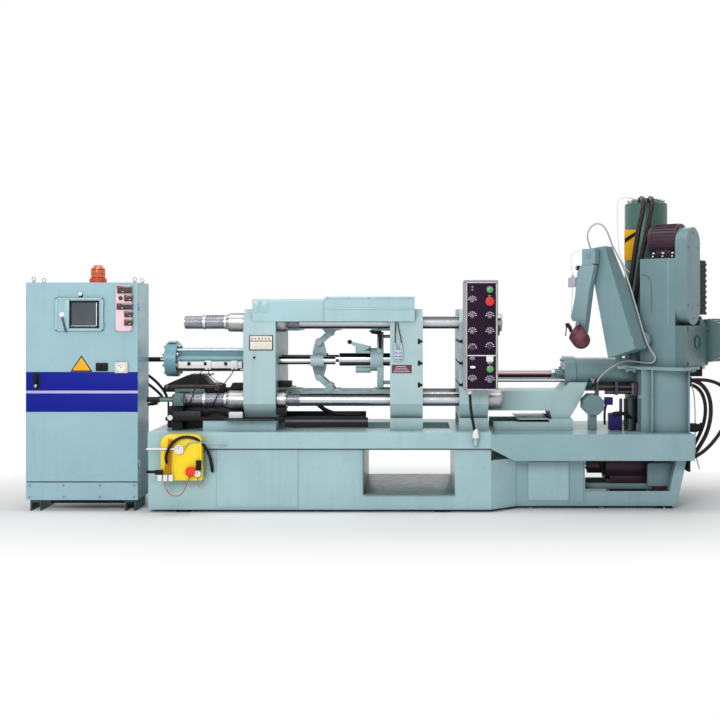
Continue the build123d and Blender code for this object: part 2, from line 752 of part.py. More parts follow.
def die_height_drive():
    """Domed gear case on a cross pedestal, between the free ends of the tie bars."""
    right = DRIVE_LEFT + DRIVE_LENGTH
    crown_left = DRIVE_LEFT + DRIVE_CROWN_OFFSET
    crown_right = crown_left + DRIVE_CROWN
    shoulder = DRIVE_BOTTOM + DRIVE_SHOULDER
    top = DRIVE_BOTTOM + DRIVE_RISE
    eave = DRIVE_BOTTOM + DRIVE_EAVE
    half = DRIVE_WIDTH / 2
    case = front_profile([(DRIVE_LEFT, DRIVE_BOTTOM), (right, DRIVE_BOTTOM), (right, eave),
                          (crown_right + DRIVE_SHOULDER, shoulder), (crown_right, top),
                          (crown_left, top), (crown_left - DRIVE_CROWN, shoulder + DRIVE_SHOULDER_STEP),
                          (DRIVE_LEFT, eave)], -half, half)
    pedestal = block(PEDESTAL_LEFT, PEDESTAL_LEFT + PEDESTAL_THICK, -PEDESTAL_WIDTH / 2,
                     PEDESTAL_WIDTH / 2, BED_TOP, DRIVE_BOTTOM)
    pipe = bar_x(JUNCTION_LEFT, PEDESTAL_LEFT, JUNCTION_Y, JUNCTION_Z, JUNCTION_DIA)
    post = bar_z(BED_TOP, JUNCTION_Z, JUNCTION_POST_X, JUNCTION_Y, JUNCTION_POST_DIA)
    return case + pedestal + pipe + post


def guide_rods():
    return together(bar_x(TAIL_RIGHT, GUIDE_END, side * GUIDE_SPREAD / 2, CLAMP_Z, GUIDE_DIA)
                    for side in (-1, 1))


def crosshead():
    """Centre block with tapered arms up and down, wings, and a long bush on each guide rod."""
    core = CROSSHEAD_CORE / 2
    half = BUSH_LENGTH / 2
    wing = CROSSHEAD_WING / 2
    eye = SMALL_EYE / 2 + CROSSHEAD_EYE_RIM
    neck = CROSSHEAD_NECK / 2
    outline = [(-half, -neck), (-eye, -CROSSHEAD_ARM_RISE), (eye, -CROSSHEAD_ARM_RISE), (half, -neck),
               (half, neck), (eye, CROSSHEAD_ARM_RISE), (-eye, CROSSHEAD_ARM_RISE), (-half, neck)]
    body = front_profile([(CROSSHEAD_X + x, CLAMP_Z + z) for x, z in outline], -core, core)
    for rise in (-CROSSHEAD_ARM_RISE, CROSSHEAD_ARM_RISE):
        body = body + bar_y(-core, core, CROSSHEAD_X, CLAMP_Z + rise, 2 * eye)
    reach = GUIDE_SPREAD / 2
    body = body + block(CROSSHEAD_X - wing, CROSSHEAD_X + wing, -reach, reach,
                        CLAMP_Z - CROSSHEAD_WING_HEIGHT / 2, CLAMP_Z + CROSSHEAD_WING_HEIGHT / 2)
    for side in (-1, 1):
        body = body + bar_x(CROSSHEAD_X - half, CROSSHEAD_X + half, side * reach, CLAMP_Z, BUSH_DIA)
    for side in (-1, 1):
        body = body - bar_x(CROSSHEAD_X - half - 1, CROSSHEAD_X + half + 1, side * reach, CLAMP_Z,
                            GUIDE_DIA + 2 * SLIDE_GAP)
    for rise in (-CROSSHEAD_ARM_RISE, CROSSHEAD_ARM_RISE):
        body = body - bar_y(-core - 1, core + 1, CROSSHEAD_X, CLAMP_Z + rise,
                            SMALL_PIN_DIA + 2 * FIT_GAP)
    return body


def link_plate(x0, x1, z, y0, y1, eye, bar):
    return together([bar_y(y0, y1, x0, z, eye), bar_y(y0, y1, x1, z, eye),
                     block(x0, x1, y0, y1, z - bar / 2, z + bar / 2)])


def both_sides(inner, thick):
    return [(inner, inner + thick), (-inner - thick, -inner)]


def rear_link(side):
    """A pair of plates on the tail plate's pin, with the ear that the small link pulls."""
    z = CLAMP_Z + side * PIVOT_RISE
    drive_x = REAR_PIVOT_X + DRIVE_PIVOT_ALONG
    drive_z = z - side * DRIVE_PIVOT_INSET
    plates = []
    for y0, y1 in both_sides(REAR_LAYER, REAR_THICK):
        plate = link_plate(REAR_PIVOT_X, KNUCKLE_X, z, y0, y1, LINK_EYE, LINK_BAR)
        ear = front_profile([(drive_x - SMALL_EYE / 2, drive_z), (drive_x + SMALL_EYE / 2, drive_z),
                             (KNUCKLE_X + DRIVE_EAR_TOE, z),
                             (drive_x - SMALL_EYE - DRIVE_EAR_HEEL, z)], y0, y1)
        plates.append(plate + ear + bar_y(y0, y1, drive_x, drive_z, SMALL_EYE))
    reach = REAR_LUG_LAYERS[1] + LUG_THICK
    return together(plates) + bar_y(-reach, reach, REAR_PIVOT_X, z, PIN_DIA)


def front_link(side):
    """A pair of plates outside the rear link's, on the moving platen's pin."""
    z = CLAMP_Z + side * PIVOT_RISE
    plates = [link_plate(KNUCKLE_X, FRONT_PIVOT_X, z, y0, y1, LINK_EYE, LINK_BAR)
              for y0, y1 in both_sides(FRONT_LAYER, FRONT_THICK)]
    reach = FRONT_LUG_LAYERS[1] + LUG_THICK
    return together(plates) + bar_y(-reach, reach, FRONT_PIVOT_X, z, PIN_DIA)


def small_link(side):
    """A pair of short plates on the crosshead's pin, slanting out to the rear link's ear."""
    z = CLAMP_Z + side * CROSSHEAD_ARM_RISE
    run = REAR_PIVOT_X + DRIVE_PIVOT_ALONG - CROSSHEAD_X
    rise = PIVOT_RISE - DRIVE_PIVOT_INSET - CROSSHEAD_ARM_RISE
    length = math.hypot(run, rise)
    angle = math.degrees(math.atan2(rise, run))
    plates = [link_plate(0, length, 0, y0, y1, SMALL_EYE, SMALL_BAR)
              for y0, y1 in both_sides(SMALL_LAYER, SMALL_THICK)]
    reach = SMALL_LAYER + SMALL_THICK
    level = together(plates) + bar_y(-reach, reach, 0, 0, SMALL_PIN_DIA)
    return Pos(CROSSHEAD_X, 0, z) * Rot(0, -side * angle, 0) * level


def ejector_rod_places():
    return [(sy * EJECTOR_ROD_SPREAD / 2, CLAMP_Z + sz * EJECTOR_ROD_RISE)
            for sy in (-1, 1) for sz in (-1, 1)]


def ejector_cylinder():
    return bar_x(EJECTOR_LEFT, MOVABLE_LEFT, 0, CLAMP_Z, EJECTOR_DIA)


def ejector_plate():
    """Plate that slides on the ejector cylinder, with its hub, two jacks and four push rods."""
    x0 = EJECTOR_PLATE_LEFT
    x1 = x0 + EJECTOR_PLATE_THICK
    half = EJECTOR_PLATE_HEIGHT / 2
    plate = block(x0, x1, -EJECTOR_PLATE_WIDTH / 2, EJECTOR_PLATE_WIDTH / 2, CLAMP_Z - half, CLAMP_Z + half)
    plate = plate + bar_x(x0 - EJECTOR_HUB_LENGTH, x1, 0, CLAMP_Z, EJECTOR_HUB_DIA)
    for sign in (-1, 1):
        plate = plate + bar_x(x0 - EJECTOR_HUB_LENGTH - EJECTOR_JACK_LENGTH, x0 - EJECTOR_HUB_LENGTH,
                              0, CLAMP_Z + sign * EJECTOR_JACK_RISE, EJECTOR_JACK_DIA)
    for y, z in ejector_rod_places():
        plate = plate + bar_x(x1, MOVABLE_RIGHT - EJECTOR_STROKE - T_SLOT_DEPTH, y, z, EJECTOR_ROD_DIA)
    return plate - bar_x(x0 - EJECTOR_HUB_LENGTH - 1, x1 + 1, 0, CLAMP_Z, EJECTOR_DIA + 2 * SLIDE_GAP)


def hood(x0, length, half, top, corner):
    """Sheet cover with folded sides, open below and at both ends."""
    outline = mirrored([(half, HOOD_BOTTOM), (half, top - corner), (half - corner, top)])
    inner_half = half - HOOD_SHEET
    inner_top = top - HOOD_SHEET
    hollow = mirrored([(inner_half, HOOD_BOTTOM - 1), (inner_half, inner_top - corner),
                       (inner_half - corner, inner_top)])
    return end_profile(outline, x0, x0 + length) - end_profile(hollow, x0 - 1, x0 + length + 1)


REAR_HOOD_HALF = PLATE_WIDTH / 2 + FIT_GAP + HOOD_SHEET
FRONT_HOOD_HALF = REAR_HOOD_HALF + HOOD_SIDE_GAP
FRONT_HOOD_TOP = HOOD_TOP + HOOD_STEP


def hood_posts(x0, x1, top):
    """Two ribs that carry a cover on the top of its platen."""
    half = HOOD_POST_WIDTH / 2
    return [block(x0 + HOOD_POST_SETBACK, x1 - HOOD_POST_SETBACK, side * PLATE_WIDTH / 4 - half,
                  side * PLATE_WIDTH / 4 + half, PLATE_TOP, top) for side in (-1, 1)]


def hood_rear():
    cover = hood(HOOD_LEFT, HOOD_REAR_LENGTH, REAR_HOOD_HALF, HOOD_TOP, HOOD_CORNER)
    posts = hood_posts(HOOD_LEFT, TAIL_RIGHT, HOOD_TOP - HOOD_SHEET)
    return together([cover] + posts)


def hood_front():
    cover = hood(HOOD_FRONT_LEFT, HOOD_FRONT_LENGTH, FRONT_HOOD_HALF, FRONT_HOOD_TOP, HOOD_CORNER)
    posts = hood_posts(MOVABLE_LEFT, HOOD_FRONT_LEFT + HOOD_FRONT_LENGTH, FRONT_HOOD_TOP - HOOD_SHEET)
    return together([cover] + posts)


CABINET_RIGHT = CABINET_LEFT + CABINET_WIDTH
CABINET_BACK = CABINET_FRONT + CABINET_DEPTH
CABINET_TOP = CABINET_BOTTOM + CABINET_HEIGHT
DOOR_BACK = CABINET_FRONT + DOOR_THICK
BODY_FRONT = DOOR_BACK + DOOR_SEAL


def cabinet_body():
    """Sheet case, open at the front above the kick plate."""
    case = block(CABINET_LEFT, CABINET_RIGHT, BODY_FRONT, CABINET_BACK, CABINET_BOTTOM, CABINET_TOP)
    inside = block(CABINET_LEFT + CABINET_SHEET, CABINET_RIGHT - CABINET_SHEET,
                   BODY_FRONT - 1, CABINET_BACK - CABINET_SHEET,
                   DOOR_BOTTOM + CABINET_SHEET, CABINET_TOP - CABINET_SHEET)
    kick = block(CABINET_LEFT, CABINET_RIGHT, CABINET_FRONT, BODY_FRONT,
                 CABINET_BOTTOM, DOOR_BOTTOM - DOOR_REVEAL)
    return case - inside + kick + cabinet_hinges() + mounting_plate()


HINGE_X = CABINET_RIGHT + HINGE_DIA / 2
HINGE_Y = DOOR_BACK + DOOR_SEAL / 2
HINGE_PLACES = [DOOR_BOTTOM + HINGE_LOW, (DOOR_BOTTOM + CABINET_TOP) / 2, CABINET_TOP - HINGE_HIGH]


def cabinet_door():
    """Full-height door with an opening for the screen hatch and half of each hinge barrel."""
    door = block(CABINET_LEFT, CABINET_RIGHT, CABINET_FRONT, DOOR_BACK, DOOR_BOTTOM, CABINET_TOP)
    door = door - block(HATCH_LEFT + HATCH_LAP, HATCH_LEFT + HATCH_WIDTH - HATCH_LAP,
                        CABINET_FRONT - 1, DOOR_BACK + 1,
                        HATCH_BOTTOM + HATCH_LAP, HATCH_BOTTOM + HATCH_HEIGHT - HATCH_LAP)
    for z in HINGE_PLACES:
        leaf = block(CABINET_RIGHT, HINGE_X, DOOR_BACK - HINGE_LEAF_FRONT, DOOR_BACK - 1,
                     z, z + HINGE_LENGTH / 2)
        door = door + leaf + bar_z(z, z + HINGE_LENGTH / 2, HINGE_X, HINGE_Y, HINGE_DIA)
    return door


def cabinet_hinges():
    """The cabinet's half of each hinge: a leaf on the side wall and the lower barrel."""
    parts = []
    for z in HINGE_PLACES:
        leaf = block(CABINET_RIGHT, HINGE_X, BODY_FRONT + 1, BODY_FRONT + HINGE_LEAF_BACK,
                     z - HINGE_LENGTH / 2, z - FIT_GAP)
        parts.append(leaf + bar_z(z - HINGE_LENGTH / 2, z - FIT_GAP, HINGE_X, HINGE_Y, HINGE_DIA))
    return together(parts)


def mounting_plate():
    """Switchgear plate on four posts from the back wall."""
    wall = CABINET_BACK - CABINET_SHEET
    y1 = wall - MOUNTING_STAND_OFF
    x0, x1 = CABINET_LEFT + MOUNTING_MARGIN, CABINET_RIGHT - MOUNTING_MARGIN
    z0, z1 = DOOR_BOTTOM + MOUNTING_MARGIN, CABINET_TOP - MOUNTING_MARGIN
    plate = block(x0, x1, y1 - MOUNTING_PLATE, y1, z0, z1)
    for x in (x0 + MOUNTING_POST_INSET, x1 - MOUNTING_POST_INSET):
        for z in (z0 + MOUNTING_POST_INSET, z1 - MOUNTING_POST_INSET):
            plate = plate + bar_y(y1, wall, x, z, MOUNTING_POST_DIA)
    return plate


def cabinet_runners():
    """Channel feet under the case, one at each side."""
    feet = []
    front = CABINET_FRONT + RUNNER_FRONT_SETBACK
    for x0 in (CABINET_LEFT + RUNNER_INSET, CABINET_RIGHT - RUNNER_INSET - RUNNER_WIDTH):
        runner = block(x0, x0 + RUNNER_WIDTH, front, CABINET_BACK - RUNNER_BACK_SETBACK, 0, CABINET_BOTTOM)
        feet.append(runner - block(x0 + RUNNER_WALL, x0 + RUNNER_WIDTH - RUNNER_WALL, front - 1, CABINET_BACK,
                                   -1, CABINET_BOTTOM - RUNNER_TOP_WALL))
    return together(feet)


def beacon():
    """Turned base, lens and cap on the cabinet roof."""
    x = CABINET_RIGHT - BEACON_FROM_RIGHT
    y = CABINET_FRONT + CABINET_DEPTH / 2
    lens_bottom = CABINET_TOP + BEACON_BASE
    lens_top = CABINET_TOP + BEACON_HEIGHT - BEACON_CAP
    base = bar_z(CABINET_TOP, lens_bottom, x, y, BEACON_DIA)
    lens = bar_z(lens_bottom, lens_top, x, y, BEACON_LENS_DIA)
    cap = Pos(x, y, lens_top) * Cone(BEACON_LENS_DIA / 2, BEACON_TOP_DIA / 2, BEACON_CAP, align=FROM_BELOW)
    return base + lens + cap


def screen_opening(y0, y1):
    """The block that the screen's window fills, in the hatch."""
    x = HATCH_LEFT + HATCH_WIDTH / 2 + SCREEN_OFFSET
    z = HATCH_BOTTOM + HATCH_HEIGHT / 2
    return block(x - SCREEN_WIDTH / 2, x + SCREEN_WIDTH / 2, y0, y1,
                 z - SCREEN_HEIGHT / 2, z + SCREEN_HEIGHT / 2)


def screen_hatch():
    """Small framed door over the screen opening, with its window cut through."""
    y1 = CABINET_FRONT - FIT_GAP
    y0 = y1 - HATCH_THICK
    frame = block(HATCH_LEFT, HATCH_LEFT + HATCH_WIDTH, y0, y1, HATCH_BOTTOM, HATCH_BOTTOM + HATCH_HEIGHT)
    return frame - screen_opening(y0 - 1, y1 + 1)


def hatch_window():
    y1 = CABINET_FRONT - FIT_GAP - WINDOW_SETBACK
    return screen_opening(y1 - WINDOW_SHEET, y1)


def temperature_controllers():
    """The plate on the door that carries the column of square instruments."""
    return block(CONTROLLER_LEFT, CONTROLLER_LEFT + CONTROLLER_WIDTH, CABINET_FRONT - CONTROLLER_THICK,
                 CABINET_FRONT, CONTROLLER_TOP - CONTROLLER_HEIGHT, CONTROLLER_TOP)


def lubricator():
    """Grease pump case with its upper corners cut off."""
    x0 = LUBE_LEFT
    x1 = LUBE_LEFT + LUBE_WIDTH
    z1 = LUBE_BOTTOM + LUBE_HEIGHT
    c = LUBE_CHAMFER
    return front_profile([(x0, LUBE_BOTTOM), (x1, LUBE_BOTTOM), (x1, z1 - c), (x1 - c, z1),
                          (x0 + c, z1), (x0, z1 - c)], -FLANGE_HALF - LUBE_DEPTH, -FLANGE_HALF)


def lubricator_bracket():
    x0 = LUBE_LEFT + LUBE_BRACKET_SIDE
    x1 = LUBE_LEFT + LUBE_WIDTH - LUBE_BRACKET_SIDE
    return block(x0, x1, -FLANGE_HALF, BED_FRONT, LUBE_BOTTOM + LUBE_BRACKET_LIFT, BED_TOP - FLANGE_THICK)


def control_panel():
    """Operator's box with rounded edges along its depth."""
    box = block(PANEL_LEFT, PANEL_LEFT + PANEL_WIDTH, PANEL_FRONT, PANEL_BACK,
                PANEL_BOTTOM, PANEL_BOTTOM + PANEL_HEIGHT)
    return fillet(box.edges().filter_by(Axis.Y), PANEL_ROUND)


def control_panel_brackets():
    half = PANEL_BRACKET_HEIGHT / 2
    return together(block(FIXED_LEFT + PANEL_BRACKET_INSET, FIXED_RIGHT - PANEL_BRACKET_INSET,
                          PANEL_BACK, -PLATE_WIDTH / 2,
                          PANEL_BOTTOM + rise - half, PANEL_BOTTOM + rise + half)
                    for rise in PANEL_BRACKET_RISES)


def injection_base():
    """Welded stand: closed box at the left, open bay at the right with a leaning end leg."""
    left = BED_RIGHT + NOSE_LENGTH
    half = BASE_DEPTH / 2
    stand = front_profile([(left, PAD_THICK), (BASE_RIGHT, PAD_THICK),
                           (BASE_RIGHT + BASE_LEAN, DECK_BOTTOM),
                           (BASE_RIGHT + BASE_LEAN, BASE_TOP), (left, BASE_TOP)], -half, half)
    inner_right = BASE_RIGHT - BASE_LEG
    bay = front_profile([(BASE_OPENING_LEFT, BASE_RAIL_HEIGHT), (inner_right, BASE_RAIL_HEIGHT),
                         (inner_right + BASE_LEAN, BASE_OPENING_TOP),
                         (BASE_OPENING_LEFT, BASE_OPENING_TOP)], -half - 1, half + 1)
    pan = block(BASE_OPENING_LEFT, inner_right, -half + DECK_SHEET, half - DECK_SHEET,
                BASE_FLOOR, BASE_RAIL_HEIGHT + 1)
    return stand - bay - pan


def injection_deck():
    """Table of plate with a deep apron on three sides, chamfered where it meets the bed."""
    half = DECK_DEPTH / 2
    table = front_profile([(BED_RIGHT, DECK_TOP), (DECK_RIGHT, DECK_TOP), (DECK_RIGHT, DECK_BOTTOM),
                           (BED_RIGHT + 2 * DECK_CHAMFER, DECK_BOTTOM),
                           (BED_RIGHT, DECK_BOTTOM + DECK_CHAMFER)], -half, half)
    hollow = block(BED_RIGHT - 1, DECK_RIGHT - DECK_SHEET, -half + DECK_SHEET, half - DECK_SHEET,
                   DECK_BOTTOM - 1, BASE_TOP)
    return table - hollow


def hydraulic_pack():
    """Foot-mounted motor with its pump, and the oil tank beside them, in the open bay."""
    x1 = PUMP_MOTOR_X + PUMP_MOTOR_LENGTH
    y = PUMP_MOTOR_Y
    body = bar_x(PUMP_MOTOR_X, x1, y, PUMP_MOTOR_Z, PUMP_MOTOR_DIA)
    foot = block(PUMP_MOTOR_X + PUMP_FOOT_INSET, x1 - PUMP_FOOT_INSET, y - PUMP_FOOT_WIDTH / 2,
                 y + PUMP_FOOT_WIDTH / 2, BASE_FLOOR, PUMP_MOTOR_Z - PUMP_DIA / 2)
    pump = bar_x(PUMP_MOTOR_X - PUMP_LENGTH, PUMP_MOTOR_X, y, PUMP_MOTOR_Z, PUMP_DIA)
    tank = block(OIL_TANK_LEFT, OIL_TANK_LEFT + OIL_TANK_WIDTH, y - OIL_TANK_DEPTH / 2,
                 y + OIL_TANK_DEPTH / 2, BASE_FLOOR, BASE_FLOOR + OIL_TANK_HEIGHT)
    return body + foot + pump + tank


def injection_slide():
    """Two rails on the deck and the cross block on which the C-frame stands."""
    block_left = SHOT_CYLINDER_LEFT - C_FRAME_FOOT_REACH
    half = RAIL_SPREAD / 2 + RAIL_BAR / 2
    bars = [block(BED_RIGHT + RAIL_SETBACK, block_left, side * RAIL_SPREAD / 2 - RAIL_BAR / 2,
                  side * RAIL_SPREAD / 2 + RAIL_BAR / 2, DECK_TOP, DECK_TOP + RAIL_RISE)
            for side in (-1, 1)]
    support = block(block_left, block_left + C_FRAME_FOOT_LENGTH, -half, half, DECK_TOP, C_FRAME_FOOT)
    return together(bars + [support])


def c_frame():
    """Casting that ties the shot cylinder to the fixed platen, with a cradle and a foot."""
    half = C_FRAME_WIDTH / 2
    x_end = SHOT_CYLINDER_LEFT
    cradle = SHOT_Z - C_FRAME_CRADLE_DROP
    outline = [(FIXED_RIGHT, C_FRAME_BOTTOM), (FIXED_RIGHT, C_FRAME_TOP),
               (x_end - C_FRAME_RISE_START, C_FRAME_TOP), (x_end + C_FRAME_LIP, cradle),
               (x_end + C_FRAME_CRADLE_LENGTH, cradle),
               (x_end + C_FRAME_CRADLE_LENGTH - C_FRAME_HEEL_INSET, C_FRAME_TOP - C_FRAME_HEEL_DROP),
               (x_end + C_FRAME_CALF_REACH, C_FRAME_BOTTOM + C_FRAME_LIP),
               (x_end + C_FRAME_LIP, C_FRAME_FOOT),
               (x_end - C_FRAME_TOE_REACH, C_FRAME_FOOT), (x_end - C_FRAME_SHIN_REACH, C_FRAME_BOTTOM)]
    casting = front_profile(outline, -half, half)
    casting = casting - bar_x(x_end - FIT_GAP, x_end + SHOT_FLANGE + FIT_GAP, 0, SHOT_Z,
                              SHOT_FLANGE_DIA + 2 * FIT_GAP)
    casting = casting - bar_x(x_end, SHOT_CYLINDER_RIGHT, 0, SHOT_Z, SHOT_CYLINDER_DIA + 2 * FIT_GAP)
    casting = casting - bar_x(x_end - C_FRAME_THROAT_LENGTH, x_end + 1, 0, SHOT_Z,
                              GLAND_DIA + 2 * C_FRAME_THROAT_GAP)
    for y, z in TIE_PLACES:
        casting = casting - bar_x(FIXED_RIGHT - 1, TIE_RIGHT + C_FRAME_NUT_REACH, y, z,
                                  NUT_DIA + 2 * C_FRAME_NUT_GAP)
    return casting


def shot_cylinder():
    """Bolted flange, barrel and rod gland, bored for the plunger rod."""
    x0 = SHOT_CYLINDER_LEFT
    body = together([bar_x(x0, x0 + SHOT_FLANGE, 0, SHOT_Z, SHOT_FLANGE_DIA),
                     bar_x(x0 + SHOT_FLANGE, SHOT_CYLINDER_RIGHT, 0, SHOT_Z, SHOT_CYLINDER_DIA),
                     bar_x(x0 - GLAND_LENGTH, x0, 0, SHOT_Z, GLAND_DIA)])
    for x in SHOT_PORT_PLACES:
        body = body + bar_z(SHOT_Z, SHOT_Z + SHOT_CYLINDER_DIA / 2 + SHOT_PORT_RISE, x, SHOT_PORT_Y,
                            SHOT_PORT_DIA)
    bore = bar_x(x0 - GLAND_LENGTH - 1, x0 + SHOT_STROKE + SHOT_BORE_SPARE, 0, SHOT_Z,
                 SHOT_ROD_DIA + 2 * SLIDE_GAP)
    return body - bore


def plunger_rod():
    return bar_x(FIXED_RIGHT - SHOT_ROD_SEAT, SHOT_CYLINDER_LEFT + SHOT_STROKE + SHOT_ROD_SPARE, 0, SHOT_Z,
                 SHOT_ROD_DIA)


def injection_guide_rod():
    z = SHOT_Z - SHOT_GUIDE_DROP
    return bar_x(FIXED_RIGHT, SHOT_CYLINDER_LEFT, SHOT_GUIDE_Y, z, SHOT_GUIDE_DIA)


def valve_block():
    """Eight-sided valve body on a short stand."""
    y1 = VALVE_BLOCK_FRONT + VALVE_BLOCK_DEPTH
    half = VALVE_BLOCK_SIZE / 2
    cut = half * math.tan(math.radians(22.5))
    points = [(-half, -cut), (-cut, -half), (cut, -half), (half, -cut),
              (half, cut), (cut, half), (-cut, half), (-half, cut)]
    body = front_profile([(VALVE_BLOCK_X + x, VALVE_BLOCK_Z + z) for x, z in points],
                         VALVE_BLOCK_FRONT, y1)
    stand = block(VALVE_BLOCK_X - VALVE_STAND / 2, VALVE_BLOCK_X + VALVE_STAND / 2,
                  VALVE_BLOCK_FRONT + VALVE_STAND_SETBACK, y1 - VALVE_STAND_SETBACK, DECK_TOP,
                  VALVE_BLOCK_Z - half)
    return body + stand


def shot_manifold():
    """Two pipes one over the other, with flange plates and branches to the shot cylinder."""
    x1 = MANIFOLD_LEFT + MANIFOLD_LENGTH
    first_low = VALVE_BLOCK_X + VALVE_BLOCK_SIZE / 2 + MANIFOLD_GAP
    pieces = [bar_x(MANIFOLD_LEFT, x1, MANIFOLD_Y, MANIFOLD_UPPER_Z, MANIFOLD_PIPE),
              bar_x(first_low, x1, MANIFOLD_Y, MANIFOLD_LOWER_Z, MANIFOLD_PIPE)]
    half = MANIFOLD_FLANGE / 2
    bottom = VALVE_BLOCK_Z + VALVE_BLOCK_SIZE / 2
    plates = [MANIFOLD_LEFT, first_low + MANIFOLD_PLATE_REACH, x1 - MANIFOLD_PLATE]
    for x in plates:
        pieces.append(block(x, x + MANIFOLD_PLATE, MANIFOLD_Y - half, MANIFOLD_Y + half,
                            bottom, MANIFOLD_UPPER_Z + half))
    for x in plates[:2]:
        pieces.append(bar_y(MANIFOLD_Y, -SHOT_CYLINDER_DIA / 4, x + MANIFOLD_PLATE / 2, MANIFOLD_UPPER_Z,
                            MANIFOLD_PIPE))
    barrel = bar_x(SHOT_CYLINDER_LEFT, SHOT_CYLINDER_RIGHT, 0, SHOT_Z, SHOT_CYLINDER_DIA + 2 * FIT_GAP)
    return together(pieces) - barrel + riser_pipes()


def riser_pipes():
    """Upright pipes from the deck, one thick and two thin."""
    pipes = [bar_z(DECK_TOP, RISER_TOP, RISER_X, MANIFOLD_Y, RISER_DIA)]
    for step in (1, 2):
        x = RISER_X - RISER_DIA / 2 - step * THIN_RISER_PITCH + THIN_RISER_DIA / 2
        pipes.append(bar_z(DECK_TOP, RISER_TOP, x, MANIFOLD_Y, THIN_RISER_DIA))
    return together(pipes)


def column():
    """Box column with side plates that stand proud of its front web, and the plate on top."""
    x1 = COLUMN_LEFT + COLUMN_WIDTH
    top = LADLER_PLATE_TOP - LADLER_PLATE
    core = block(COLUMN_LEFT, x1, COLUMN_FRONT + COLUMN_RECESS, COLUMN_FRONT + COLUMN_DEPTH, DECK_TOP, top)
    for x in (COLUMN_LEFT + COLUMN_RIB, x1 - COLUMN_SHEET):
        core = core + block(x, x + COLUMN_SHEET, COLUMN_FRONT, COLUMN_FRONT + COLUMN_RECESS, DECK_TOP, top)
    return core + ladler_plate()


def local_block(u0, u1, v0, v1, z0, z1):
    return LADLER * block(u0, u1, v0, v1, z0, z1)


def ladler_plate():
    """The ladler's square base plate, cut away round the accumulator and the shot cylinder."""
    u1 = LADLER_PLATE_MARGIN
    v0 = -LADLER_PLATE_MARGIN
    plate = local_block(u1 - LADLER_PLATE_WIDTH, u1, v0, v0 + LADLER_PLATE_DEPTH,
                        LADLER_PLATE_TOP - LADLER_PLATE, LADLER_PLATE_TOP)
    plate = plate - bar_z(LADLER_PLATE_TOP - LADLER_PLATE - 1, LADLER_PLATE_TOP + 1,
                          ACCUMULATOR_X, ACCUMULATOR_Y, ACCUMULATOR_DIA + 2 * PLATE_CLEARANCE)
    half = SHOT_CYLINDER_DIA / 2 + PLATE_CLEARANCE
    return plate - block(SHOT_CYLINDER_LEFT, SHOT_CYLINDER_RIGHT + PLATE_CLEARANCE, -half, half,
                         LADLER_PLATE_TOP - LADLER_PLATE - 1, LADLER_PLATE_TOP + 1)


LADLER_TOP = LADLER_PLATE_TOP + LADLER_HEIGHT


def ladler_body():
    """Tower on the plate, with the boss that carries the arm's shaft."""
    tower = block(-LADLER_WIDTH, 0, 0, LADLER_DEPTH, LADLER_PLATE_TOP, LADLER_TOP)
    boss = bar_y(-ARM_GAP / 2, 0, ARM_PIVOT_U, ARM_PIVOT_Z, ARM_BOSS_DIA)
    bore = bar_y(-ARM_GAP / 2, ARM_SHAFT_DEPTH, ARM_PIVOT_U, ARM_PIVOT_Z, ARM_SHAFT_DIA + 2 * FIT_GAP)
    return LADLER * (tower + boss - bore)


def chain_guard():
    """Flat guard with round ends, on the right side of the tower."""
    r = GUARD_BREADTH / 2
    z0 = GUARD_BOTTOM + r
    z1 = GUARD_BOTTOM + GUARD_HEIGHT - r
    shape = together([Pos(GUARD_THICK / 2, r, z0) * Rot(0, 90, 0) * Cylinder(r, GUARD_THICK),
                      Pos(GUARD_THICK / 2, r, z1) * Rot(0, 90, 0) * Cylinder(r, GUARD_THICK),
                      block(0, GUARD_THICK, 0, GUARD_BREADTH, z0, z1)])
    return LADLER * shape


def cable_duct():
    """Upright duct against the guard's back edge, with ribs round it."""
    v0 = GUARD_BREADTH
    v1 = v0 + DUCT_WIDTH
    u1 = DUCT_LEFT + DUCT_THICK
    pieces = [local_block(DUCT_LEFT + DUCT_RIB, u1 - DUCT_RIB, v0, v1 - DUCT_RIB,
                          DUCT_BOTTOM, DUCT_BOTTOM + DUCT_HEIGHT)]
    for step in range(int(DUCT_HEIGHT // DUCT_RIB_PITCH)):
        z = DUCT_BOTTOM + step * DUCT_RIB_PITCH
        pieces.append(local_block(DUCT_LEFT, u1, v0, v1, z, z + DUCT_RIB_PITCH / 2))
    return together(pieces)


def ladler_motor():
    """Motor on two feet, lying across the top of the tower."""
    v = GUARD_BREADTH / 2
    z = LADLER_TOP + DRIVE_MOTOR_FOOT + DRIVE_MOTOR_DIA / 2
    body = bar_x(-DRIVE_MOTOR_LENGTH, 0, v, z, DRIVE_MOTOR_DIA)
    half = DRIVE_MOTOR_FOOT_WIDTH / 2
    feet = block(-DRIVE_MOTOR_LENGTH + DRIVE_MOTOR_FOOT_INSET, -DRIVE_MOTOR_FOOT_INSET, v - half, v + half,
                 LADLER_TOP, z - DRIVE_MOTOR_FOOT_SINK)
    return LADLER * (body + feet)


def ladler_gearmotor():
    """Gear case low on the right of the tower, with the motor out of its back end."""
    b = GEARBOX_BREADTH
    z0 = LADLER_PLATE_TOP
    z1 = z0 + GEARBOX_HEIGHT
    case = end_profile([(0, z0), (b, z0), (b, z1 - GEARBOX_SLOPE),
                        (GUARD_BREADTH + GEARBOX_HUMP_PEAK, z1 + GEARBOX_HUMP),
                        (GUARD_BREADTH + GEARBOX_HUMP_START, z1), (0, z1)], 0, GUARD_THICK)
    motor = bar_y(b, b + GEARMOTOR_LENGTH, GEARMOTOR_U, z0 + GEARMOTOR_RISE, GEARMOTOR_DIA)
    return LADLER * (case + motor)


ARM_BACK = -ARM_GAP
ARM_FRONT = ARM_BACK - ARM_THICK


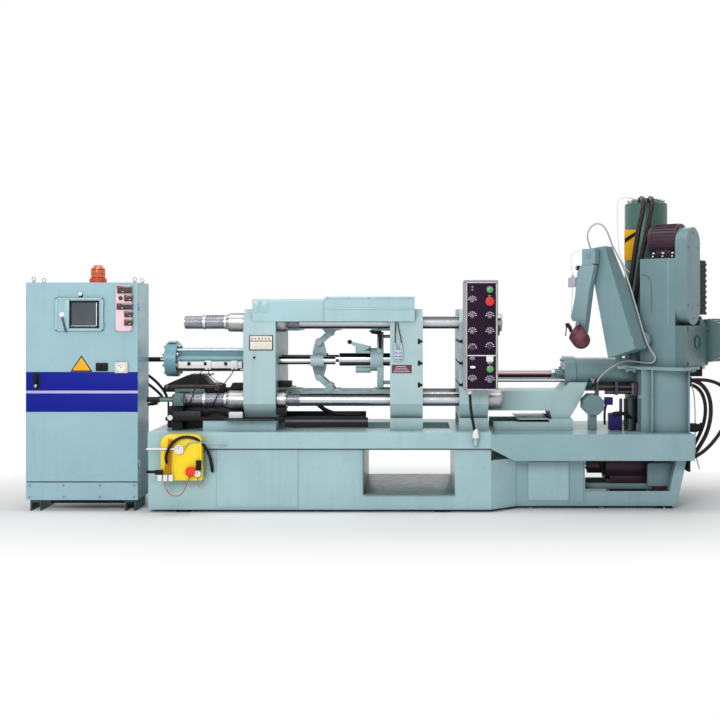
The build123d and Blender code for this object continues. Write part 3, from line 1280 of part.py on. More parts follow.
def ladler_arm():
    """Tapered box arm on its shaft, thinner towards the head, with the elbow pin."""
    foot_right = ARM_FOOT_U + ARM_FOOT_WIDTH
    head_right = ARM_HEAD_U + ARM_HEAD_WIDTH
    head_top = ARM_HEAD_Z + ARM_HEAD_SLANT
    arm = front_profile([(ARM_FOOT_U, ARM_FOOT_Z), (foot_right, ARM_FOOT_Z + ARM_FOOT_SLANT),
                         (head_right, head_top), (ARM_HEAD_U, ARM_HEAD_Z)], ARM_FRONT, ARM_BACK)
    taper = end_profile([(ARM_BACK, ARM_TAPER_Z), (ARM_FRONT + ARM_HEAD_THICK, head_top),
                         (ARM_BACK, head_top)], ARM_HEAD_U, foot_right)
    boss = bar_y(ARM_BACK, ARM_BACK + ARM_GAP / 2 - ARM_RUNNING_GAP, ARM_PIVOT_U, ARM_PIVOT_Z, ARM_BOSS_DIA)
    shaft = bar_y(ARM_BACK, ARM_SHAFT_DEPTH - ARM_RUNNING_GAP, ARM_PIVOT_U, ARM_PIVOT_Z, ARM_SHAFT_DIA)
    pin = bar_y(FOREARM_FRONT, ARM_FRONT, ELBOW_U, ELBOW_Z, ELBOW_PIN_DIA)
    return LADLER * (arm - taper + boss + shaft + pin)


FOREARM_BACK = ARM_FRONT - FOREARM_GAP
FOREARM_FRONT = FOREARM_BACK - FOREARM_THICK


def forearm():
    """Square knuckle on the elbow pin and a slim box down to the wrist eye."""
    half = KNUCKLE_WIDTH / 2
    knuckle = block(ELBOW_U - half, ELBOW_U + half, FOREARM_FRONT, FOREARM_BACK,
                    ELBOW_Z - KNUCKLE_HEIGHT / 2, ELBOW_Z + KNUCKLE_HEIGHT / 2)
    shin = front_profile([(ELBOW_U + FOREARM_WIDTH / 2, ELBOW_Z), (ELBOW_U - FOREARM_WIDTH / 2, ELBOW_Z),
                          (WRIST_U - FOREARM_WRIST_WIDTH / 2, WRIST_Z),
                          (WRIST_U + FOREARM_WRIST_WIDTH / 2, WRIST_Z)], FOREARM_FRONT, FOREARM_BACK)
    eye = bar_y(FOREARM_FRONT, FOREARM_BACK, WRIST_U, WRIST_Z, FOREARM_WRIST_WIDTH)
    elbow = bar_y(FOREARM_FRONT, FOREARM_BACK, ELBOW_U, ELBOW_Z, ELBOW_PIN_DIA + 2 * FIT_GAP)
    wrist = bar_y(FOREARM_FRONT, FOREARM_BACK, WRIST_U, WRIST_Z, WRIST_PIN_DIA + 2 * FIT_GAP)
    return LADLER * (knuckle + shin + eye - elbow - wrist)


def ladle():
    """Round-bottomed cup with a slanted mouth and a spout, on a pin through the wrist."""
    r = LADLE_DIA / 2
    inner = r - LADLE_WALL
    floor = r - LADLE_BELOW
    tall = LADLE_ABOVE - floor
    outside = Pos(0, 0, floor) * (Cylinder(r, tall, align=FROM_BELOW) + Sphere(r))
    inside = Pos(0, 0, floor) * (Cylinder(inner, 2 * tall, align=FROM_BELOW) + Sphere(inner))
    beak = Pos(-r, 0, LADLE_ABOVE - LADLE_SPOUT / 2) * Box(LADLE_SPOUT, LADLE_SPOUT, LADLE_SPOUT)
    channel = Pos(-r, 0, LADLE_ABOVE) * Box(2 * LADLE_SPOUT, LADLE_SPOUT - LADLE_WALL, LADLE_SPOUT)
    waste = Box(3 * LADLE_DIA, 3 * LADLE_DIA, 2 * LADLE_DIA, align=FROM_BELOW)
    mouth = Pos(0, r, LADLE_ABOVE) * Rot(LADLE_MOUTH_SLANT, 0, 0) * waste
    cup = outside + beak - channel - inside - mouth
    level = LADLER * Pos(WRIST_U, FOREARM_FRONT - LADLE_GAP - r, WRIST_Z)
    pin = bar_y(LADLE_WALL / 2, LADLE_GAP + r + FOREARM_THICK, 0, 0, WRIST_PIN_DIA)
    pin = pin - Cylinder(inner + LADLE_WALL / 2, LADLE_DIA)
    return level * (Rot(0, -LADLE_LEAN, 0) * cup + pin)


def accumulator_shell():
    """Upright bottle open at both ends, closed by the head and the base."""
    z0 = DECK_TOP + ACCUMULATOR_FLANGE
    z1 = ACCUMULATOR_TOP - ACCUMULATOR_DOME
    wall = bar_z(z0, z1, ACCUMULATOR_X, ACCUMULATOR_Y, ACCUMULATOR_DIA)
    hollow = bar_z(z0 - 1, z1 + 1, ACCUMULATOR_X, ACCUMULATOR_Y, ACCUMULATOR_DIA - 2 * ACCUMULATOR_WALL)
    return wall - hollow


def accumulator_head():
    """Domed end with a central boss and two ports that look to the front."""
    dome_height = ACCUMULATOR_DOME - ACCUMULATOR_BOSS
    dome = Cone(ACCUMULATOR_DIA / 2, ACCUMULATOR_CROWN_DIA / 2, dome_height, align=FROM_BELOW)
    boss = Pos(0, 0, dome_height) * Cylinder(ACCUMULATOR_BOSS_DIA / 2, ACCUMULATOR_BOSS, align=FROM_BELOW)
    head = Pos(ACCUMULATOR_X, ACCUMULATOR_Y, ACCUMULATOR_TOP - ACCUMULATOR_DOME) * (dome + boss)
    for x in ACCUMULATOR_PORT_PLACES:
        head = head + bar_y(ACCUMULATOR_PORT_FRONT, ACCUMULATOR_Y, x, ACCUMULATOR_PORT_Z,
                            ACCUMULATOR_PORT_DIA)
    return head


def accumulator_base():
    return bar_z(DECK_TOP, DECK_TOP + ACCUMULATOR_FLANGE, ACCUMULATOR_X, ACCUMULATOR_Y,
                 ACCUMULATOR_FLANGE_DIA)


def cord_tube(points, dia):
    """A round tube along a route picked by hand, each corner an arc as wide as its runs allow."""
    route = [Vector(*point) for point in points]
    radii = []
    for before, corner, after in zip(route, route[1:], route[2:]):
        turn = (corner - before).get_angle(after - corner)
        run = min((corner - before).length, (after - corner).length)
        radii.append(CORD_ARC_SHARE * run / math.tan(math.radians(turn / 2)))
    path = FilletPolyline(*route, radius=radii)
    print(f"cord of {dia} mm, {path.length:.0f} mm long, tightest radius {min(radii):.0f}")
    return sweep(Plane(origin=path @ 0, z_dir=path % 0) * Circle(dia / 2), path)


def panel_conduit():
    return cord_tube([(480, -575, PANEL_BOTTOM), (481, -581, 915), (491, -585, 815), (510, -582, 715),
                      (PANEL_GLAND_X, PANEL_GLAND_Y, PANEL_GLAND_TOP)], PANEL_CONDUIT_DIA)


def cabinet_hoses():
    """Two hoses from the back of the cabinet, over the gap and down to the junction pipe."""
    top = JUNCTION_Z + JUNCTION_DIA / 2
    upper = [(-2430, CABINET_BACK, 1150), (-2426, -60, 1148), (-2400, 0, 1140), (-2352, 40, 1122),
             (-2292, 52, 1088), (-2232, 44, 1042), (-2178, 26, 990), (-2142, 6, 948), (-2122, -6, top)]
    lower = [(-2450, CABINET_BACK, 1080), (-2446, -60, 1078), (-2420, 0, 1070), (-2372, 38, 1054),
             (-2314, 46, 1026), (-2258, 34, 990), (-2212, 14, 955), (-2178, -4, 928), (-2160, -10, top)]
    return cord_tube(upper, CABINET_HOSE_DIA) + cord_tube(lower, CABINET_HOSE_DIA)


def accumulator_hoses():
    """Two thick hoses over the front of the accumulator's head and down to the shot cylinder."""
    end = SHOT_Z + SHOT_CYLINDER_DIA / 2 + SHOT_PORT_RISE
    left_top, right_top = ACCUMULATOR_PORT_PLACES
    left_port, right_port = SHOT_PORT_PLACES
    left = [(left_top, ACCUMULATOR_PORT_FRONT, ACCUMULATOR_PORT_Z), (left_top - 6, -20, 2627),
            (left_top - 24, -112, 2572), (left_top - 50, -164, 2468), (1940, -174, 2340),
            (1908, -156, 2120), (1880, -132, 1880), (1850, -100, 1640), (1822, -62, 1440),
            (left_port, SHOT_PORT_Y, end)]
    right = [(right_top, ACCUMULATOR_PORT_FRONT, ACCUMULATOR_PORT_Z), (right_top - 6, -20, 2627),
             (right_top - 24, -112, 2572), (right_top - 52, -158, 2468), (2016, -162, 2340),
             (1974, -138, 2120), (1942, -118, 1880), (1920, -92, 1640), (1900, -58, 1440),
             (right_port, SHOT_PORT_Y, end)]
    return cord_tube(left, ACCUMULATOR_HOSE_DIA) + cord_tube(right, ACCUMULATOR_HOSE_DIA)


def injection_hoses():
    """Three hoses that bow out of the column's end and back under the table, and a wide loop."""
    start = COLUMN_LEFT + COLUMN_WIDTH
    bundle = [(start, -300, 1080), (2395, -302, 1066), (2470, -306, 1010), (2510, -310, 920),
              (2520, -312, 815), (2508, -312, 710), (2478, -310, 612), (2430, -306, 525),
              (2378, -302, 445), (2333, -300, 388), (2294, -298, 345)]
    inner = [(start, -250, 1040), (2385, -252, 1028), (2448, -256, 980), (2480, -260, 900),
             (2488, -262, 812), (2477, -262, 722), (2450, -260, 636), (2410, -256, 554),
             (2366, -252, 474), (2326, -250, 400), (2290, -248, 325)]
    loop = [(start, -345, 1072), (2395, -347, 1078), (2490, -350, 1072), (2580, -352, 1042),
            (2648, -354, 975), (2675, -356, 885), (2662, -356, 790), (2622, -354, 700),
            (2570, -352, 615), (2508, -350, 535), (2438, -348, 470), (2362, -346, 425),
            (2299, -345, 398)]
    return together([cord_tube(bundle, INJECTION_HOSE_DIA), cord_tube(inner, INNER_HOSE_DIA),
                     cord_tube(loop, INNER_HOSE_DIA)])


def arm_conduit():
    """Thin conduit that goes with the arm: a loop over the elbow and a clipped run down the edge."""
    loop = [(-630, -274, 2170), (-646, -286, 2226), (-654, -296, 2282), (-640, -292, 2338),
            (-602, -278, 2382), (-554, -256, 2388), (-517, -230, 2348), (-498, -202, 2284),
            (-488, -172, 2214)]
    run = [(-488, -172, 2214), (-462, -112, 2120), (-424, -72, 2010), (-380, -66, 1880),
           (-338, -66, 1750), (-296, -68, 1620), (-258, -70, 1500), (-226, -71, 1412),
           (-212, -66, 1374), (-204, -50, 1346), (-192, -40, 1318), (-180, -38, 1301.3), (-168, -38, 1286)]
    return together(LADLER * cord_tube(route, LADLER_CONDUIT_DIA) for route in (loop, run))


def ladler_conduit():
    """Slack of the thin conduit: from the shoulder through the gap behind the arm to the manifold."""
    slack = [(-167.6, -38, 1285.5), (-158, -39, 1272), (-156, -40, 1250), (-168, -40, 1228),
             (-192, -41, 1216), (-226, -40, 1215), (-264, -40, 1218), (-302, -41, 1222),
             (-344, -42, 1228), (-386, -44, 1230), (-428, -48, 1226), (-462, -58, 1215), (-494, -76, 1196),
             (-526, -104, 1174), (-556, -140, 1142), (-582, -176, 1104), (-598, -202, 1071),
             (-604, -214, 1046)]
    return LADLER * cord_tube(slack, LADLER_CONDUIT_DIA)


def all_nodes():
    return {
        "bed_frame": bed_frame(),
        "leveling_pads": leveling_pads(),
        "access_panels": access_panels(),
        "tail_plate": tail_plate(),
        "movable_platen": movable_platen(),
        "fixed_platen": fixed_platen(),
        "tie_bars": tie_bars(),
        "tie_bar_nuts": tie_bar_nuts(),
        "clamp_cylinder": clamp_cylinder(),
        "piston_rod": piston_rod(),
        "die_height_drive": die_height_drive(),
        "guide_rods": guide_rods(),
        "crosshead": crosshead(),
        "rear_link_upper": rear_link(1),
        "rear_link_lower": rear_link(-1),
        "front_link_upper": front_link(1),
        "front_link_lower": front_link(-1),
        "small_link_upper": small_link(1),
        "small_link_lower": small_link(-1),
        "ejector_cylinder": ejector_cylinder(),
        "ejector_plate": ejector_plate(),
        "hood_rear": hood_rear(),
        "hood_front": hood_front(),
        "cabinet_body": cabinet_body(),
        "cabinet_door": cabinet_door(),
        "cabinet_runners": cabinet_runners(),
        "beacon": beacon(),
        "screen_hatch": screen_hatch(),
        "hatch_window": hatch_window(),
        "temperature_controllers": temperature_controllers(),
        "lubricator": lubricator(),
        "control_panel": control_panel(),
        "injection_base": injection_base(),
        "injection_deck": injection_deck(),
        "hydraulic_pack": hydraulic_pack(),
        "injection_slide": injection_slide(),
        "c_frame": c_frame(),
        "shot_cylinder": shot_cylinder(),
        "plunger_rod": plunger_rod(),
        "injection_guide_rod": injection_guide_rod(),
        "valve_block": valve_block(),
        "shot_manifold": shot_manifold(),
        "column": column(),
        "ladler_body": ladler_body(),
        "chain_guard": chain_guard(),
        "ladler_motor": ladler_motor(),
        "cable_duct": cable_duct(),
        "ladler_gearmotor": ladler_gearmotor(),
        "ladler_arm": ladler_arm(),
        "forearm": forearm(),
        "ladle": ladle(),
        "accumulator_shell": accumulator_shell(),
        "accumulator_head": accumulator_head(),
        "accumulator_base": accumulator_base(),
        "panel_conduit": panel_conduit(),
        "cabinet_hoses": cabinet_hoses(),
        "accumulator_hoses": accumulator_hoses(),
        "injection_hoses": injection_hoses(),
        "arm_conduit": arm_conduit(),
        "ladler_conduit": ladler_conduit(),
    }


def ground_middle(solids):
    """How far the middle of the machine's footprint, cords aside, lies from the drawing's origin."""
    boxes = [solid.bounding_box() for name, solid in solids.items() if name not in CORD_ENDS]
    x = (min(box.min.X for box in boxes) + max(box.max.X for box in boxes)) / 2
    y = (min(box.min.Y for box in boxes) + max(box.max.Y for box in boxes)) / 2
    return x, y


# A hose ends flush on the pieces that it joins
CORD_ENDS = {"panel_conduit": ["bed_frame", "control_panel"],
             "cabinet_hoses": ["cabinet_body", "die_height_drive"],
             "accumulator_hoses": ["accumulator_head", "shot_cylinder"],
             "injection_hoses": ["column", "injection_base"],
             "arm_conduit": ["ladler_arm"],
             "ladler_conduit": ["shot_manifold"]}

nodes = all_nodes()
for cord, carriers in CORD_ENDS.items():
    for carrier in carriers:
        nodes[cord] = nodes[cord] - nodes[carrier]
middle_x, middle_y = ground_middle(nodes)
print(f"origin_x {middle_x:.3f} origin_y {middle_y:.3f}")
for name, solid in nodes.items():
    export_step(Pos(-middle_x, -middle_y, 0) * solid, f"parts/{name}.step")
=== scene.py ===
import math

import bmesh
import bpy
from mathutils import Matrix, Vector


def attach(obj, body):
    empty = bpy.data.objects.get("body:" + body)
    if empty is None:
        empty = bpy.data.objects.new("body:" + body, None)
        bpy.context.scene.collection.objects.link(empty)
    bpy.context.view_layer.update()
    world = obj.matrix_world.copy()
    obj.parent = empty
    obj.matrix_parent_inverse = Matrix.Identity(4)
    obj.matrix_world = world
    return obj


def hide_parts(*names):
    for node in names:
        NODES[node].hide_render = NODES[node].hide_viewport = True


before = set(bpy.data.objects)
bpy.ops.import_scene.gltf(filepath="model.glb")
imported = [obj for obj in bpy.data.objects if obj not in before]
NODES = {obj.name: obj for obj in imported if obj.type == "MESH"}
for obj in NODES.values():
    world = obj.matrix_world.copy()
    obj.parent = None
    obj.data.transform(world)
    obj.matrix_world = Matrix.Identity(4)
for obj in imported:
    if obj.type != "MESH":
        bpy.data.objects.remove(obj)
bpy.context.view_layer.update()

# Drawing millimetres, as the part's source uses them, go to the row frame by this shift
SHIFT = Vector((0.148011, 0.075, 0.0))
DRAWN = Matrix.Translation(SHIFT) @ Matrix.Scale(0.001, 4)
# The ladler is drawn square and stands turned about this upright line
LADLER_X, LADLER_Y, LADLER_TURN = 2181, -450, math.radians(-38)
LADLER = DRAWN @ Matrix.Translation((LADLER_X, LADLER_Y, 0)) @ Matrix.Rotation(LADLER_TURN, 4, "Z")

# Directions, and the bodies with many pieces
OUT, BACK, LEFT, RIGHT, UP, DOWN = (0, -1, 0), (0, 1, 0), (-1, 0, 0), (1, 0, 0), (0, 0, 1), (0, 0, -1)
DOOR, SCREEN_HATCH = "cabinet_door", "screen_hatch"

# Camera at the photograph's place: its axis meets the drawing at EYE_X, EYE_Z, off the picture's middle
EYE_X, EYE_Y, EYE_Z = 0, -9000, 1618
AXIS_PX, AXIS_PY, FOCAL_PX, PICTURE_PX = 411, 315, 1035, 720
SENSOR_MM = 36


def at(x, y, z, place):
    """Row-frame point of a drawing point."""
    return place @ Vector((x, y, z))


cam_data = bpy.data.cameras.new("camera")
cam = bpy.data.objects.new("camera", cam_data)
bpy.context.collection.objects.link(cam)
cam.location = (0.148, -8.925, 1.618)
cam.rotation_euler = (math.radians(90), 0, 0)
cam_data.sensor_width = SENSOR_MM
cam_data.lens = SENSOR_MM * FOCAL_PX / PICTURE_PX
cam_data.shift_x = (PICTURE_PX / 2 - AXIS_PX) / PICTURE_PX
cam_data.shift_y = (AXIS_PY - PICTURE_PX / 2) / PICTURE_PX
bpy.context.scene.camera = cam


# Materials

def srgb(r, g, b):
    return tuple(((c / 255 + 0.055) / 1.055) ** 2.4 if c > 10 else c / 255 / 12.92 for c in (r, g, b)) + (1.0,)


def node(tree, kind, inputs, operation=None):
    """Outputs of a new shader node. Each input, by name or number, is a value or the socket that feeds it."""
    made = tree.nodes.new("ShaderNode" + kind)
    if operation:
        made.operation = operation
    for key, value in inputs.items():
        if isinstance(value, bpy.types.NodeSocket):
            tree.links.new(value, made.inputs[key])
        else:
            made.inputs[key].default_value = value
    return made.outputs


def surface(name, rgb, rough, metal=0.0, coat=0.0, vary=0.08, scale=3.0, streak=0.0, bump=0.0,
            grain=220.0, crease=0.0, rough_vary=0.08, stretch=(1, 1, 1), shine=0.35, bands=()):
    """A procedural finish: soft mottling, run-down streaks, painted shade in the creases and a fine grain.
    bands are (0 for a face that looks down to 1 for one that looks up, tone) pairs, a painted reflection."""
    mat = bpy.data.materials.new(name)
    mat.use_nodes = True
    tree = mat.node_tree
    shader = tree.nodes["Principled BSDF"].inputs
    shader["Metallic"].default_value = metal
    shader["Coat Weight"].default_value = coat
    shader["Coat Roughness"].default_value = 0.12
    shader["Specular IOR Level"].default_value = shine
    place = node(tree, "TexCoord", {})
    spread = node(tree, "Mapping", {"Vector": place["Object"], "Scale": stretch})["Vector"]

    def noise(size, detail=4.0, vector=spread):
        return node(tree, "TexNoise", {"Vector": vector, "Scale": size, "Detail": detail})["Fac"]

    def ramp(value, low, high, low_to, high_to):
        return node(tree, "MapRange", {"Value": value, "From Min": low, "From Max": high,
                                       "To Min": low_to, "To Max": high_to})["Result"]

    def multiply(color, factor):
        return node(tree, "VectorMath", {0: color, "Scale": factor}, "SCALE")["Vector"]

    base = node(tree, "RGB", {})["Color"]
    base.default_value = srgb(*rgb)
    color = multiply(base, ramp(noise(scale), 0.3, 0.7, 1 - vary, 1 + vary))
    if streak:
        down = node(tree, "Mapping", {"Vector": place["Object"], "Scale": (9, 9, 0.7)})["Vector"]
        color = multiply(color, ramp(noise(1.6, 6.0, down), 0.55, 0.75, 1.0, 1 - streak))
    # Painted shade: the colour darkens where ambient occlusion finds creases and hollows
    if crease:
        hollow = tree.nodes.new("ShaderNodeAmbientOcclusion")
        hollow.samples = 4
        hollow.inputs["Distance"].default_value = 0.09
        color = multiply(color, ramp(hollow.outputs["AO"], 0.25, 0.9, 1 - crease, 1.0))
    # Painted reflection: the colour is banded lighter and darker by how far each face looks up or down
    if bands:
        height = node(tree, "SeparateXYZ", {0: place["Normal"]})["Z"]
        tones = tree.nodes.new("ShaderNodeValToRGB")
        stops = tones.color_ramp.elements
        while len(stops) < len(bands):
            stops.new(0.5)
        for stop, (spot, tone) in zip(stops, bands):
            stop.position = spot
            stop.color = (tone, tone, tone, 1)
        tree.links.new(ramp(height, -1.0, 1.0, 0.0, 1.0), tones.inputs["Fac"])
        color = multiply(color, tones.outputs["Color"])
    tree.links.new(color, shader["Base Color"])
    tree.links.new(ramp(noise(scale * 5), 0.3, 0.7, max(0.02, rough - rough_vary), min(1.0, rough + rough_vary)),
                   shader["Roughness"])
    if bump:
        fine = node(tree, "Bump", {"Strength": 1.0, "Distance": bump / 1000, "Height": noise(grain, 3.0)})
        tree.links.new(fine["Normal"], shader["Normal"])
    return mat


def mint(name, rgb, rough=0.38, coat=0.1, vary=0.06, streak=0.06, bump=0.3, crease=0.4, **other):
    """The machine's one mint paint, in a lighter or darker copy standing for the light or shade a part sits in."""
    return surface("mint_" + name, rgb, rough, coat=coat, vary=vary, streak=streak, bump=bump, crease=crease, **other)


# Lit and shaded copies of one mint paint: the darker tones are painted shade for parts that face away from the key
# light or sit in shadow
MINT = mint("paint", (158, 190, 196), 0.33, 0.15, 0.05, 0.07, 0.25, 0.45)
MINT_CAST = mint("cast", (163, 190, 192), 0.4, 0, 0.07, 0.08, 0.8, 0.55, grain=120)
MINT_CYLINDER = mint("cylinder", (112, 158, 170), 0.36, bump=0.4, crease=0.6)
MINT_BASE = mint("base", (138, 170, 176), 0.36, streak=0.08, crease=0.5)
MINT_GREY = mint("grey", (106, 134, 138), vary=0.07, streak=0.1, crease=0.5)
MINT_DEEP = mint("deep", (86, 112, 112), vary=0.08, streak=0.1, crease=0.5)
MINT_ARM = mint("arm", (124, 152, 158))
MINT_CABINET = mint("cabinet", (147, 181, 190), 0.33, vary=0.05, bump=0.25, crease=0.45)
MINT_TOWER = mint("tower", (106, 134, 138), vary=0.07, streak=0.1, crease=0.5)
MINT_SHANK = mint("shank", (114, 144, 148))
VESSEL = surface("vessel_green", (62, 99, 92), 0.38, coat=0.1, vary=0.1, streak=0.12, bump=0.3, crease=0.5)
TEAL_DARK = surface("teal_dark", (44, 78, 80), 0.4, vary=0.12, streak=0.1, bump=0.3, crease=0.3)
# Painted reflection on chrome: dark and bright bands by how far a face looks up or down
CHROME_PAINTED_REFLECTION = ((0.0, 0.3), (0.1, 0.12), (0.2, 0.5), (0.34, 0.85), (0.6, 1.0), (0.7, 0.8), (0.77, 0.1), (0.92, 0.12),
                (1.0, 0.35))
CHROME = surface("chrome", (208, 211, 216), 0.16, metal=1.0, vary=0.05, scale=6, rough_vary=0.05, crease=0.55,
                 bands=CHROME_PAINTED_REFLECTION)
# The plunger rod gets the same kind of painted reflection bands
PLUNGER = surface("plunger_steel", (176, 152, 154), 0.22, metal=1.0, vary=0.08, scale=6, crease=0.5,
                  bands=((0.0, 0.08), (0.3, 0.1), (0.5, 0.16), (0.6, 0.9), (0.8, 1.0), (0.9, 0.2), (1.0, 0.3)))
STEEL = surface("machined_steel", (168, 168, 170), 0.34, metal=1.0, vary=0.1, scale=12, crease=0.45,
                stretch=(1, 6, 6))
DARK_STEEL = surface("dark_steel", (74, 70, 78), 0.38, metal=0.8, vary=0.18, scale=14, crease=0.4)
BLACK = surface("black_oxide", (17, 16, 19), 0.55, vary=0.2, scale=8, bump=0.3, shine=0.18)
MAROON = surface("maroon_motor", (54, 28, 42), 0.45, coat=0.05, vary=0.18, scale=8, bump=0.3, crease=0.3)
IRON = surface("coated_iron", (96, 52, 58), 0.6, metal=0.2, vary=0.35, scale=16, bump=1.2, grain=90, crease=0.4)
YELLOW = surface("yellow_paint", (248, 214, 18), 0.33, coat=0.2, vary=0.05, bump=0.3, crease=0.4)
AMBER_PLATE = surface("amber_plate", (240, 166, 22), 0.4, vary=0.04, bump=0.1)
BLUE = surface("blue_band", (16, 28, 138), 0.5, vary=0.05, bump=0.15, crease=0.3, shine=0.12)
GREY = surface("panel_grey", (150, 146, 152), 0.42, vary=0.05, bump=0.25, crease=0.4)
PANEL_BLACK = surface("panel_black", (34, 18, 38), 0.55, vary=0.1, bump=0.15, shine=0.1)
RUBBER = surface("rubber", (15, 13, 16), 0.5, vary=0.2, scale=20, bump=0.4, grain=260, shine=0.25)
# Black rubber with brown-orange flecks: the flecks are painted highlights of the hoses
RUBBER_GLINTS = surface("rubber_glints", (30, 19, 16), 0.5, vary=0.75, scale=34, bump=0.6, shine=0.25, grain=160)
WHITE = surface("white_paint", (226, 226, 224), 0.4, vary=0.04, bump=0.1)
PINK = surface("faded_pink", (226, 196, 206), 0.5, vary=0.05, bump=0.1)
RED = surface("red_cap", (206, 26, 34), 0.3, coat=0.3, vary=0.05, bump=0.05)
GREEN = surface("green_cap", (52, 178, 60), 0.3, coat=0.3, vary=0.06, bump=0.05)
BRASS = surface("brass", (190, 140, 62), 0.3, metal=1.0, vary=0.12, scale=14, crease=0.3)
COPPER = surface("copper", (188, 98, 60), 0.32, metal=1.0, vary=0.12, scale=14, crease=0.3)
# Near-black used for a painted shadow
SHADOW_DARK = surface("painted_shadow_dark", (26, 32, 32), 0.7, vary=0.3, scale=5, bump=0.6, shine=0.15)
CONDUIT = surface("grey_conduit", (172, 170, 172), 0.45, vary=0.08, bump=0.2, grain=300)
SCREEN = surface("screen_grey", (62, 72, 80), 0.2, coat=0.6, vary=0.25, scale=2.5)
LENS = surface("amber_lens", (214, 92, 18), 0.12, coat=0.8, vary=0.15, scale=10)
LENS_BASE = surface("beacon_base", (196, 60, 20), 0.3, coat=0.3, vary=0.08, scale=10)

FINISHES = (
    (MINT, "bed_frame access_panels hood_rear hood_front"),
    (BLACK, "leveling_pads die_height_drive cable_duct"),
    (MINT_CAST, "tail_plate movable_platen fixed_platen crosshead ejector_plate injection_slide c_frame "
     "rear_link_upper rear_link_lower front_link_upper front_link_lower small_link_upper small_link_lower"),
    (CHROME, "tie_bars piston_rod guide_rods ejector_cylinder injection_guide_rod"),
    (STEEL, "tie_bar_nuts"),
    (MINT_CYLINDER, "clamp_cylinder"),
    (MINT_CABINET, "cabinet_body cabinet_door screen_hatch"),
    (TEAL_DARK, "cabinet_runners"),
    (LENS, "beacon"),
    (SCREEN, "hatch_window"),
    (PINK, "temperature_controllers"),
    (YELLOW, "lubricator"),
    (GREY, "control_panel"),
    (MINT_BASE, "injection_base injection_deck"),
    (MAROON, "hydraulic_pack ladler_motor"),
    (MINT_TOWER, "shot_cylinder ladler_body chain_guard"),
    (PLUNGER, "plunger_rod"),
    (MINT_GREY, "valve_block accumulator_base"),
    (DARK_STEEL, "shot_manifold"),
    (MINT_ARM, "column forearm"),
    (MINT_DEEP, "ladler_gearmotor"),
    (MINT_SHANK, "ladler_arm"),
    (IRON, "ladle"),
    (VESSEL, "accumulator_shell accumulator_head"),
    (RUBBER, "panel_conduit cabinet_hoses"),
    (RUBBER_GLINTS, "accumulator_hoses injection_hoses"),
    (CONDUIT, "arm_conduit ladler_conduit"),
)
EDGES = (
    (4, "cabinet_door column control_panel ejector_plate crosshead tie_bar_nuts clamp_cylinder valve_block "
     "hydraulic_pack"),
    (5, "bed_frame cabinet_body injection_base injection_deck forearm shot_cylinder"),
    (6, "tail_plate movable_platen fixed_platen c_frame ladler_body ladler_gearmotor lubricator"),
    (7, "ladler_arm"),
    (8, "chain_guard"),
)
EDGE = {name: width for width, names in EDGES for name in names.split()}
for finish, node_name in ((finish, name) for finish, names in FINISHES for name in names.split()):
    solid = NODES[node_name]
    solid.data.materials.clear()
    solid.data.materials.append(finish)
    weld = solid.modifiers.new("weld", "WELD")
    weld.merge_threshold = 0.00002
    edge = solid.modifiers.new("edge", "BEVEL")
    edge.width = EDGE.get(node_name, 2) / 1000
    edge.segments = 2
    edge.limit_method = "ANGLE"
    edge.angle_limit = math.radians(40)
    even = solid.modifiers.new("even", "WEIGHTED_NORMAL")
    even.keep_sharp = True


# Geometry helpers: every size is in drawing millimetres

SHARP_FROM = math.radians(35)
NO_EDGE = 0.2
STARTED = []


def spots_round(count, radius, first=0.0):
    """Offsets of points spaced evenly on a circle."""
    angles = [first + 2 * math.pi * k / count for k in range(count)]
    return [(radius * math.cos(a), radius * math.sin(a)) for a in angles]


def turned(axis, angle, x, y, z):
    """Turn about the line through x, y, z along the named axis."""
    spot = Vector((x, y, z))
    return Matrix.Translation(spot) @ Matrix.Rotation(angle, 4, axis) @ Matrix.Translation(-spot)


def added(name, data, finish, body):
    """A new object of one finish that rides on a body."""
    data.materials.append(finish)
    made = bpy.data.objects.new(name, data)
    bpy.context.collection.objects.link(made)
    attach(made, body)
    return made


